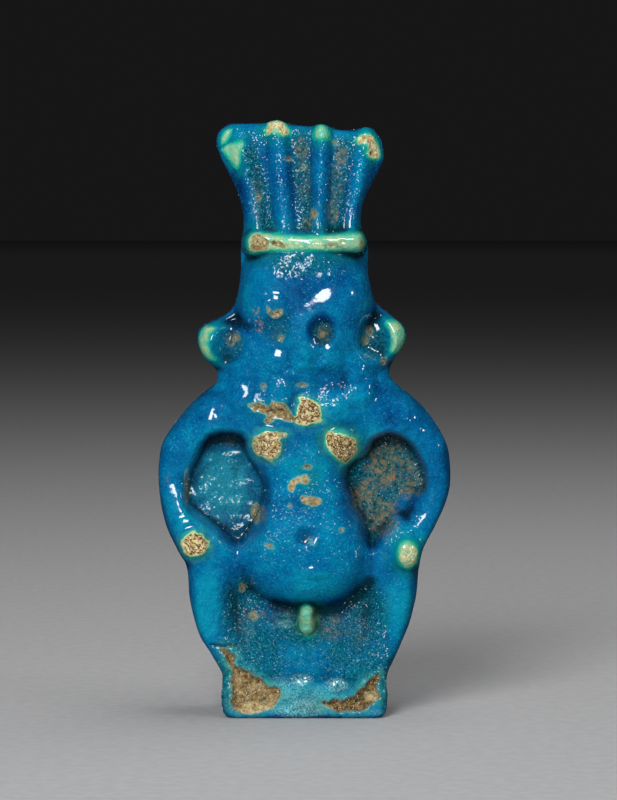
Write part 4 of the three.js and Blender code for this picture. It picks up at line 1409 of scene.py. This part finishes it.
# %% [markdown]
# Three effects come back again and again, so each is a node group that gives a mask: clouds, a
# ragged border and specks. The glaze, the grains and the floor use them with values of their own.
# Clouds are for all that is uneven, such as glaze and dirt. They are noise, which lies between
# about 0.3 and 0.7, cut at the level that gives the wanted cover.

# %% A cloudy mask
SHADER = "ShaderNodeTree"
NOISE_LOW, NOISE_HIGH = 0.3, 0.7
clouds, given, result = named_group(
    "cloudy mask",
    SHADER,
    [
        ("Place mm", VECTOR, None),
        ("Size mm", FLOAT, 1.0),
        ("Cover", FLOAT, 0.5),
        ("Softness", FLOAT, 0.2),
    ],
    [("Mask", FLOAT)],
)
covered = clouds.times(given["Cover"], NOISE_HIGH - NOISE_LOW)
level = clouds.math("SUBTRACT", NOISE_HIGH, covered)
start = clouds.math("SUBTRACT", level, clouds.math("DIVIDE", given["Softness"], 2))
end = clouds.plus(level, clouds.math("DIVIDE", given["Softness"], 2))
noise = clouds.noise(given["Place mm"], given["Size mm"], 3)
clouds.feed(result["Mask"], clouds.span(noise, start, end))
print("clouds take", len(clouds.tree.nodes), "nodes")

# %% [markdown]
# The border of a worn patch wanders. Noise is added to a stored distance before it is cut at
# zero, so the border strays by some tenths of a millimetre, and it can be soft or crisp.

# %% A ragged border
border, given, result = named_group(
    "ragged border",
    SHADER,
    [
        ("Distance mm", FLOAT, 0.0),
        ("Place mm", VECTOR, None),
        ("Wander mm", FLOAT, 0.2),
        ("Wander size mm", FLOAT, 0.5),
        ("Softness mm", FLOAT, 0.1),
    ],
    [("Inside", FLOAT)],
)
noise = border.noise(given["Place mm"], given["Wander size mm"], 3)
drift = border.times(border.math("SUBTRACT", noise, 0.5), given["Wander mm"])
away = border.plus(given["Distance mm"], drift)
half = border.math("DIVIDE", given["Softness mm"], 2)
border.feed(result["Inside"], border.span(away, half, border.times(half, -1)))
print("a border takes", len(border.tree.nodes), "nodes")

# %% [markdown]
# Specks and pinholes lie apart, as the grains in the paste do. The middle of each cell in a
# Voronoi pattern makes one speck, and the share says how far it reaches in its cell.

# %% Specks
SPECK_CORE = 0.6
specks, given, result = named_group(
    "specks",
    SHADER,
    [("Place mm", VECTOR, None), ("Spacing mm", FLOAT, 0.5), ("Share", FLOAT, 0.25)],
    [("Mask", FLOAT)],
)
middle = specks.cells(given["Place mm"], given["Spacing mm"])
inner = specks.times(given["Share"], SPECK_CORE)
specks.feed(result["Mask"], specks.span(middle, given["Share"], inner))
print("specks take", len(specks.tree.nodes), "nodes")


# %% [markdown]
# A material is a tree with one shader at its end. This helper adds to the first one what only
# materials need: stored fields, colour ramps, the groups above, and places in millimetres.

# %% A few more words for materials
def paint(red, green, blue):
    """A colour as seen on a screen, from 0 to 255, as the linear colour that Blender works in."""
    return [(part / 255) ** 2.2 for part in (red, green, blue)] + [1.0]


class Paint(Tree):
    """A material's tree, with one Principled shader and places in millimetres."""

    def __init__(self, material):
        material.use_nodes = True
        super().__init__(material.node_tree)
        self.tree.nodes.clear()
        self.shader = self.add("ShaderNodeBsdfPrincipled")
        output = self.add("ShaderNodeOutputMaterial")
        self.feed(output.inputs["Surface"], self.shader.outputs["BSDF"])
        self.place = self.scaled(self.add("ShaderNodeTexCoord").outputs["Object"], 1000)

    def stored(self, name):
        return self.add("ShaderNodeAttribute", attribute_name=name).outputs["Fac"]

    def use(self, group, **values):
        node = self.add("ShaderNodeGroup", node_tree=group.tree)
        self.feed(node.inputs["Place mm"], self.place)
        for name, value in values.items():
            self.feed(node.inputs[name.replace("_", " ")], value)
        return node.outputs[0]

    def ramp(self, value, *stops):
        node = self.add("ShaderNodeValToRGB", {"Fac": value})
        elements = node.color_ramp.elements
        elements[0].position, elements[0].color = stops[0]
        elements[1].position, elements[1].color = stops[-1]
        for place, colour in stops[1:-1]:
            elements.new(place).color = colour
        return node.outputs["Color"]


print("buff is", [round(part, 3) for part in paint(212, 200, 160)])


# %% [markdown]
# The glaze gets its blue from copper. Thick glaze is deep and thin glaze is turquoise, so the
# stored `crest`, stirred with slow clouds, chooses the colour. `crest` also holds the painted
# light and shade of a few spots. Finer clouds leave the small darker streaks that a real glaze
# has.

# %% Glaze from deep blue to turquoise
coat = Paint(glaze)


def stirred(size, strength, detail):
    """Noise around zero, of a size in millimetres and a strength."""
    noise = coat.noise(coat.place, size, detail)
    return coat.times(coat.math("SUBTRACT", noise, 0.5), strength)


thin_glaze_and_light = coat.plus(coat.stored("crest"), stirred(3.2, 0.7, 3), stirred(0.7, 0.4, 3))
thin_glaze_and_light = coat.plus(thin_glaze_and_light, stirred(0.2, 0.6, 2))
colour = coat.ramp(
    thin_glaze_and_light,
    (0.02, paint(1, 38, 78)),
    (0.34, paint(2, 72, 119)),
    (0.62, paint(3, 98, 141)),
    (0.90, paint(8, 127, 154)),
)
# pale freckles in the glaze, partly painted sparkle of its crystals
FRECKLES_AND_SPARKLE = 0.45
freckles_and_sparkle = coat.use(specks, Spacing_mm=0.33, Share=0.3)
freckles_and_sparkle = coat.times(freckles_and_sparkle, coat.use(clouds, Size_mm=1.5, Cover=0.5, Softness=0.5))
colour = coat.blend(coat.times(freckles_and_sparkle, FRECKLES_AND_SPARKLE), colour, paint(60, 162, 188))
print("thin glaze is turquoise")

# %% [markdown]
# Around each chip, and over the raised details, the glaze is mint. Inside a patch the colour
# turns paler and a little yellow. Along its border lies a stronger green line.

# %% Mint green over the edges
GREEN = paint(24, 150, 122)
HALO_WIDTH = 0.3
NEAR_MINT = (1.7, 0.1)
NEAR_STRENGTH = 0.75
GREEN_LINE = 0.28
bare = coat.stored("bare")
mint = coat.stored("mint")
rimmed = coat.stored("rim")
halo = coat.use(
    border,
    Distance_mm=coat.math("SUBTRACT", bare, HALO_WIDTH),
    Wander_mm=0.8,
    Wander_size_mm=0.8,
    Softness_mm=0.5,
)
colour = coat.blend(coat.times(halo, rimmed), colour, GREEN)
near = coat.times(coat.span(mint, *NEAR_MINT), NEAR_STRENGTH)
near = coat.times(near, coat.use(clouds, Size_mm=1.0, Cover=0.6, Softness=0.4))
colour = coat.blend(near, colour, paint(8, 112, 116))
greenish = coat.use(border, Distance_mm=mint, Wander_mm=0.5, Wander_size_mm=0.9, Softness_mm=0.3)
colour = coat.blend(greenish, colour, GREEN)
pale = coat.use(
    border,
    Distance_mm=coat.plus(mint, GREEN_LINE),
    Wander_mm=0.5,
    Wander_size_mm=0.7,
    Softness_mm=0.4,
)
yellowish = coat.use(clouds, Size_mm=0.9, Cover=0.45, Softness=0.25)
light = coat.blend(yellowish, paint(100, 172, 144), paint(150, 180, 136))
colour = coat.blend(pale, colour, light)
print("mint glaze on", len(GREENS), "details")

# %% [markdown]
# In the gritty hollows the glaze is thin, dull and full of specks, and brown dirt has stayed in
# it. Its pale flecks are partly painted sparkle. On the base it is milky, and the milky colour
# also paints sheen and glints in a few spots. Here the masks are the stored fields broken up by
# clouds, because dirt is never even.

# %% Grit in the hollows, milky glaze and painted sheen
DULL, CRUMBLY, FLECKS_AND_SPARKLE, MILK_AND_SHEEN = 0.7, 0.75, 0.5, 0.7
grit = coat.stored("grit")
crumbs = coat.ramp(
    coat.noise(coat.place, 0.22, 2),
    (0.34, paint(3, 34, 44)),
    (0.46, paint(4, 66, 80)),
    (0.57, paint(8, 97, 110)),
    (0.68, paint(50, 106, 98)),
)
broken = coat.times(grit, coat.use(clouds, Size_mm=0.6, Cover=0.75, Softness=0.3))
dull = coat.times(grit, coat.use(clouds, Size_mm=1.4, Cover=0.7, Softness=0.6))
colour = coat.blend(coat.times(dull, DULL), colour, paint(4, 90, 104))
colour = coat.blend(coat.times(broken, CRUMBLY), colour, crumbs)
# pale flecks in the grit, partly painted sparkle
flecks_and_sparkle = coat.times(grit, coat.use(specks, Spacing_mm=0.36, Share=0.22))
colour = coat.blend(coat.times(flecks_and_sparkle, FLECKS_AND_SPARKLE), colour, paint(84, 188, 198))
# milky glaze, and in a few spots painted sheen and glints
milk_and_sheen_mask = coat.use(clouds, Size_mm=0.16, Cover=0.5, Softness=0.3)
milk_and_sheen_mask = coat.times(coat.stored("milk_and_sheen"), milk_and_sheen_mask)
colour = coat.blend(coat.times(milk_and_sheen_mask, MILK_AND_SHEEN), colour, paint(132, 196, 190))
print("grit and milky glaze are on")

# %% [markdown]
# Dirt is brown in some places and greenish in others, so noise runs it through a ramp of four
# colours. Slow drifts thin it out here and gather it there, as water left it.

# %% Brown dirt
DRIFTS = dict(start=0.38, end=0.60, to_start=0.35, to_end=1.15)
DIRTY = 0.8
dirt = coat.ramp(
    coat.noise(coat.place, 0.45, 5),
    (0.36, paint(26, 58, 58)),
    (0.48, paint(72, 94, 84)),
    (0.57, paint(108, 102, 78)),
    (0.66, paint(146, 104, 64)),
)
dirty = coat.use(clouds, Size_mm=0.4, Cover=0.85, Softness=0.3)
drifts = coat.span(coat.noise(coat.place, 1.6, 2), **DRIFTS)
dirty = coat.math("MULTIPLY", coat.times(coat.stored("stain"), dirty), drifts, clamp=True)
colour = coat.blend(coat.times(dirty, DIRTY), colour, dirt)
print("the dirt is on")

# %% [markdown]
# Where the glaze is gone, the quartz body shows: buff, blotched, with dark pores. The tree for
# the skin stored its pores, so they darken in the right places. A chip with a rim has a crisp
# border and a thin pale line, one without fades out softly, and the glaze near a deep chip turns
# greenish.

# %% Borders of the chips
NEAR_CHIP = (1.2, 0.0)
DEEP_CHIP = (0.9, 1.0)
FRINGE = 0.7
SOFTNESS_BY_RIM = dict(start=0.0, end=0.4, to_start=0.4, to_end=0.08)
PALE_LINE = 0.14
lost = coat.stored("loss")
fringe = coat.times(coat.span(bare, *NEAR_CHIP), coat.span(lost, *DEEP_CHIP))
fringe = coat.times(fringe, coat.use(clouds, Size_mm=0.5, Cover=0.65, Softness=0.4))
colour = coat.blend(coat.times(fringe, FRINGE), colour, paint(58, 144, 136))
soft = coat.span(rimmed, **SOFTNESS_BY_RIM)
inside = coat.use(
    border, Distance_mm=bare, Wander_mm=0.35, Wander_size_mm=0.3, Softness_mm=soft
)
rim = coat.use(
    border,
    Distance_mm=coat.math("SUBTRACT", bare, PALE_LINE),
    Wander_mm=0.3,
    Wander_size_mm=0.4,
    Softness_mm=0.1,
)
colour = coat.blend(coat.times(rim, rimmed), colour, paint(178, 196, 140))
print("the chips have borders")

# %% [markdown]
# Inside the border lies the body. Two sandy colours, mixed by clouds, make a dark and a fair
# body, and the stored `tone` chooses between them. Thin dark veins and holes lie over both. The
# dark creases go on last, over glaze and body alike: they are dirt and painted shade together,
# with a painted shadow below the belly.

# %% Sand, veins, holes and creases
VEIN_HALF_WIDTH = (0.06, 0.03)
VEINS_BY_RIM = dict(start=0.2, end=0.6, to_start=0.25, to_end=0.95)
HOLED, CREASED = 0.8, 0.85
sand = coat.use(clouds, Size_mm=0.4, Cover=0.5, Softness=0.3)
dark = coat.blend(sand, paint(82, 62, 38), paint(132, 110, 70))
fair = coat.blend(sand, paint(180, 156, 102), paint(226, 212, 168))
body = coat.blend(coat.stored("tone"), dark, fair)
vein = coat.math("ABSOLUTE", coat.math("SUBTRACT", coat.noise(coat.place, 0.5, 2), 0.5))
vein = coat.span(vein, *VEIN_HALF_WIDTH)
vein = coat.times(vein, coat.span(rimmed, **VEINS_BY_RIM))
body = coat.blend(vein, body, paint(92, 54, 26))
patchy = coat.use(clouds, Size_mm=0.35, Cover=lost, Softness=0.25)
inside = coat.times(inside, patchy)
hole = coat.math("MAXIMUM", coat.stored("pore"), coat.use(specks, Spacing_mm=0.5, Share=0.2))
body = coat.blend(coat.times(hole, HOLED), body, paint(66, 46, 28))
colour = coat.blend(inside, colour, body)
crease_dirt_and_shade = coat.times(coat.stored("crease_dirt_and_shade"), CREASED)
# dirt and painted shade in creases, cracks and holes, and the painted shadow below the belly
colour = coat.blend(crease_dirt_and_shade, colour, paint(12, 34, 40))
coat.feed(coat.shader.inputs["Base Color"], colour)
print("the body is bare in", len(CHIPS) + len(PITS), "places")

# %% [markdown]
# A fired glaze is glass, so it is smooth and has a clear coat. Both fade out where the surface is
# gritty or bare. Constant numbers go straight onto the shader, and only what changes over the
# surface comes through nodes. Bumps are given by their size and height in millimetres.

# %% Gloss and fine bumps
ONE_MM = 0.001
GLAZE_ROUGHNESS = 0.45
DIRT_ROUGHNESS = 0.3
BODY_ROUGHNESS = 0.85
rough = coat.plus(GLAZE_ROUGHNESS, coat.times(dirty, DIRT_ROUGHNESS))
rough = coat.math("MAXIMUM", rough, coat.times(inside, BODY_ROUGHNESS))
coat.feed(coat.shader.inputs["Roughness"], rough)
coat.shader.inputs["Coat Roughness"].default_value = 0.09
coat.shader.inputs["Coat IOR"].default_value = 1.8
coat.shader.inputs["Specular IOR Level"].default_value = 0.02

bumps = coat.plus(stirred(0.9, 0.14, 2), stirred(0.25, 0.12, 3))
bumps = coat.plus(bumps, coat.times(stirred(0.2, 0.16, 3), grit))
bumps = coat.plus(bumps, coat.times(stirred(0.2, 0.2, 4), inside))
bumped = coat.add("ShaderNodeBump", {"Height": bumps, "Distance": ONE_MM})
coat.feed(coat.shader.inputs["Normal"], bumped.outputs["Normal"])
print("the glaze is bumpy")

# %% [markdown]
# Where the glaze is frosted, its surface is a crust of tiny crystals. Most of them scatter the
# light, so the clear coat fades there, and a few face the lamp like small mirrors and sparkle.
# Each cell of a Voronoi pattern stands for one crystal, leaning its own way.

# %% Clear coat and sparkling crystals
CRYSTAL_SIZE = 0.12
CRYSTAL_LEAN = 0.9
CRYSTAL_SHARE = 0.06
CRYSTAL_COAT = 0.28
LONE_CRYSTALS = 0.2
CRUST_COAT = 0.02
CLEAR_COAT = 0.85
LEAN_BY_FROST = dict(start=0.15, end=0.6, to_start=0.0, to_end=CRYSTAL_LEAN)
frost = coat.stored("frost")
crystal = coat.add(
    "ShaderNodeTexVoronoi", {"Vector": coat.place, "Scale": 1 / CRYSTAL_SIZE}
).outputs
chance = coat.add("ShaderNodeTexWhiteNoise", {"Vector": crystal["Position"]}).outputs["Value"]
mirror = coat.math("LESS_THAN", chance, CRYSTAL_SHARE)
cluster = coat.use(clouds, Size_mm=1.1, Cover=0.5, Softness=0.3)
mirror = coat.times(mirror, coat.plus(LONE_CRYSTALS, cluster))
crust = coat.plus(CRUST_COAT, coat.times(mirror, CRYSTAL_COAT))
clear = coat.times(coat.math("SUBTRACT", 1, frost), CLEAR_COAT)
glassy = coat.plus(clear, coat.times(frost, crust))
matt = coat.math("MAXIMUM", inside, dirty)
glassy = coat.times(glassy, coat.math("SUBTRACT", 1, matt))
coat.feed(coat.shader.inputs["Coat Weight"], glassy)

glass = coat.add("ShaderNodeBump", {"Height": stirred(0.5, 0.012, 2), "Distance": ONE_MM})
lean = coat.add("ShaderNodeVectorMath", {0: crystal["Color"], 1: (0.5,) * 3}, operation="SUBTRACT")
lean = coat.scaled(lean.outputs[0], coat.span(frost, **LEAN_BY_FROST))
facing = coat.add("ShaderNodeVectorMath", {0: glass.outputs["Normal"], 1: lean}, operation="ADD")
facing = coat.add("ShaderNodeVectorMath", {0: facing.outputs[0]}, operation="NORMALIZE")
coat.feed(coat.shader.inputs["Coat Normal"], facing.outputs[0])
print("the glaze has", len(coat.tree.nodes), "nodes")

# %% [markdown]
# Quartz grains are pale in the chips. In the gritty hollows a thin glaze still covers them, so
# they are bluer there, and their paler colour there is partly a painted glint.

# %% Quartz grains
grain = Paint(quartz)
uneven = grain.use(clouds, Size_mm=0.5, Cover=0.5, Softness=0.3)
cream = grain.blend(uneven, paint(150, 128, 88), paint(212, 200, 160))
# blue glazed grains, whose pale end is partly a painted glint
glassy = grain.blend(uneven, paint(14, 92, 124), paint(130, 186, 200))
loose = grain.use(border, Distance_mm=grain.stored("bare"), Wander_mm=0.0)
grain.feed(grain.shader.inputs["Base Color"], grain.blend(loose, glassy, cream))
grain.shader.inputs["Roughness"].default_value = 0.22
print("grain colours follow the chips")

# %% [markdown]
# The studio is plain: one pale floor, which runs back far enough to fade into the dark. The
# glaze doesn't mirror it, because a pale floor in the coat would wash the blue out.

# %% Floor
FLOOR_HALF = 6.0
floor_mesh = bpy.data.meshes.new("floor")
signs = [(-1, -1), (1, -1), (1, 1), (-1, 1)]
corners = [(a * FLOOR_HALF, b * FLOOR_HALF, low.z) for a, b in signs]
floor_mesh.from_pydata(corners, [], [range(4)])
floor = bpy.data.objects.new("floor", floor_mesh)
bpy.context.scene.collection.objects.link(floor)
card = bpy.data.materials.new("pale_card")
paper = Paint(card)
mottled = paper.use(clouds, Size_mm=1.2, Cover=0.5, Softness=0.5)
paper.feed(
    paper.shader.inputs["Base Color"],
    paper.blend(mottled, paint(164, 164, 165), paint(172, 172, 173)),
)
paper.shader.inputs["Roughness"].default_value = 0.7
floor_mesh.materials.append(card)
floor.visible_glossy = False
print("the floor lies at", round(low.z, 4))

# %% [markdown]
# A lamp is placed by where it stands and where it aims. All are area lights, because a soft
# source gives soft shadows. The soft box at the upper left and the small lamp on the right make
# the glints that show the form. Three fills only brighten, and show in no glint: one from the
# front, one from above and one on the far floor. The air is dim for the sake of the blue, and as
# bright as the far floor, so that no line shows where the floor ends.

# %% Lights
world = bpy.data.worlds.new("dim_air")
bpy.context.scene.world = world
world.use_nodes = True
world.node_tree.nodes["Background"].inputs["Color"].default_value = paint(29, 29, 30)


def aimed(name, data, place, aim):
    """Adds a lamp or a camera at a place in metres, looking at another."""
    thing = bpy.data.objects.new(name, data)
    thing.location = place
    turn = (mathutils.Vector(aim) - mathutils.Vector(place)).to_track_quat("-Z", "Y")
    thing.rotation_euler = turn.to_euler()
    bpy.context.scene.collection.objects.link(thing)
    return thing


MIDDLE = (0, 0, 0.03)
LAMPS = {
    # place, aim, watts, width, height, whether its glints show
    "soft_box": ((-0.14, -0.38, 0.33), MIDDLE, 2.0, 0.20, 0.22, True),
    "side_lamp": ((0.40, -0.20, 0.16), MIDDLE, 0.2, 0.06, 0.06, True),
    "front_fill": ((-0.15, -0.50, 0.04), MIDDLE, 2.6, 0.40, 0.30, False),
    "top_fill": ((0.10, 0.02, 0.38), MIDDLE, 0.8, 0.30, 0.30, False),
    "back_wash": ((0, 3.2, 2.4), (0, 3.2, 0), 0.9, 1.0, 1.0, False),
}
for name, (place, aim, watts, width, height, glints) in LAMPS.items():
    lamp = bpy.data.lights.new(name, "AREA")
    lamp.shape = "RECTANGLE"
    lamp.energy, lamp.size, lamp.size_y = watts, width, height
    aimed(name, lamp, place, aim).visible_glossy = glints
print("lamps:", ", ".join(LAMPS))

# %% [markdown]
# A long lens from a little above shows the figure nearly flat on, with only a sliver of the
# base's top. The distance follows from the lens, so the figure keeps its size in the picture.

# %% Camera
LENS = 0.135
SENSOR = 0.036
FRAME_HEIGHT = 0.0812
TILT = math.radians(3.5)
AIM = (0.000355, 0, 0.0318)
distance = FRAME_HEIGHT * LENS / SENSOR
lens = bpy.data.cameras.new("camera")
lens.lens, lens.sensor_width = 1000 * LENS, 1000 * SENSOR
lens.clip_start = 0.01
back, up = distance * math.cos(TILT), distance * math.sin(TILT)
bpy.context.scene.camera = aimed("camera", lens, (AIM[0], -back, AIM[2] + up), AIM)
bpy.context.scene.view_settings.view_transform = "Standard"
print("the camera stands", round(1000 * distance), "mm away")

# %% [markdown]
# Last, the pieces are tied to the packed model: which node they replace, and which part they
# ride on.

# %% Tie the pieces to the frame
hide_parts(NODE)
for piece in (skin, grains):
    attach(piece, "root")
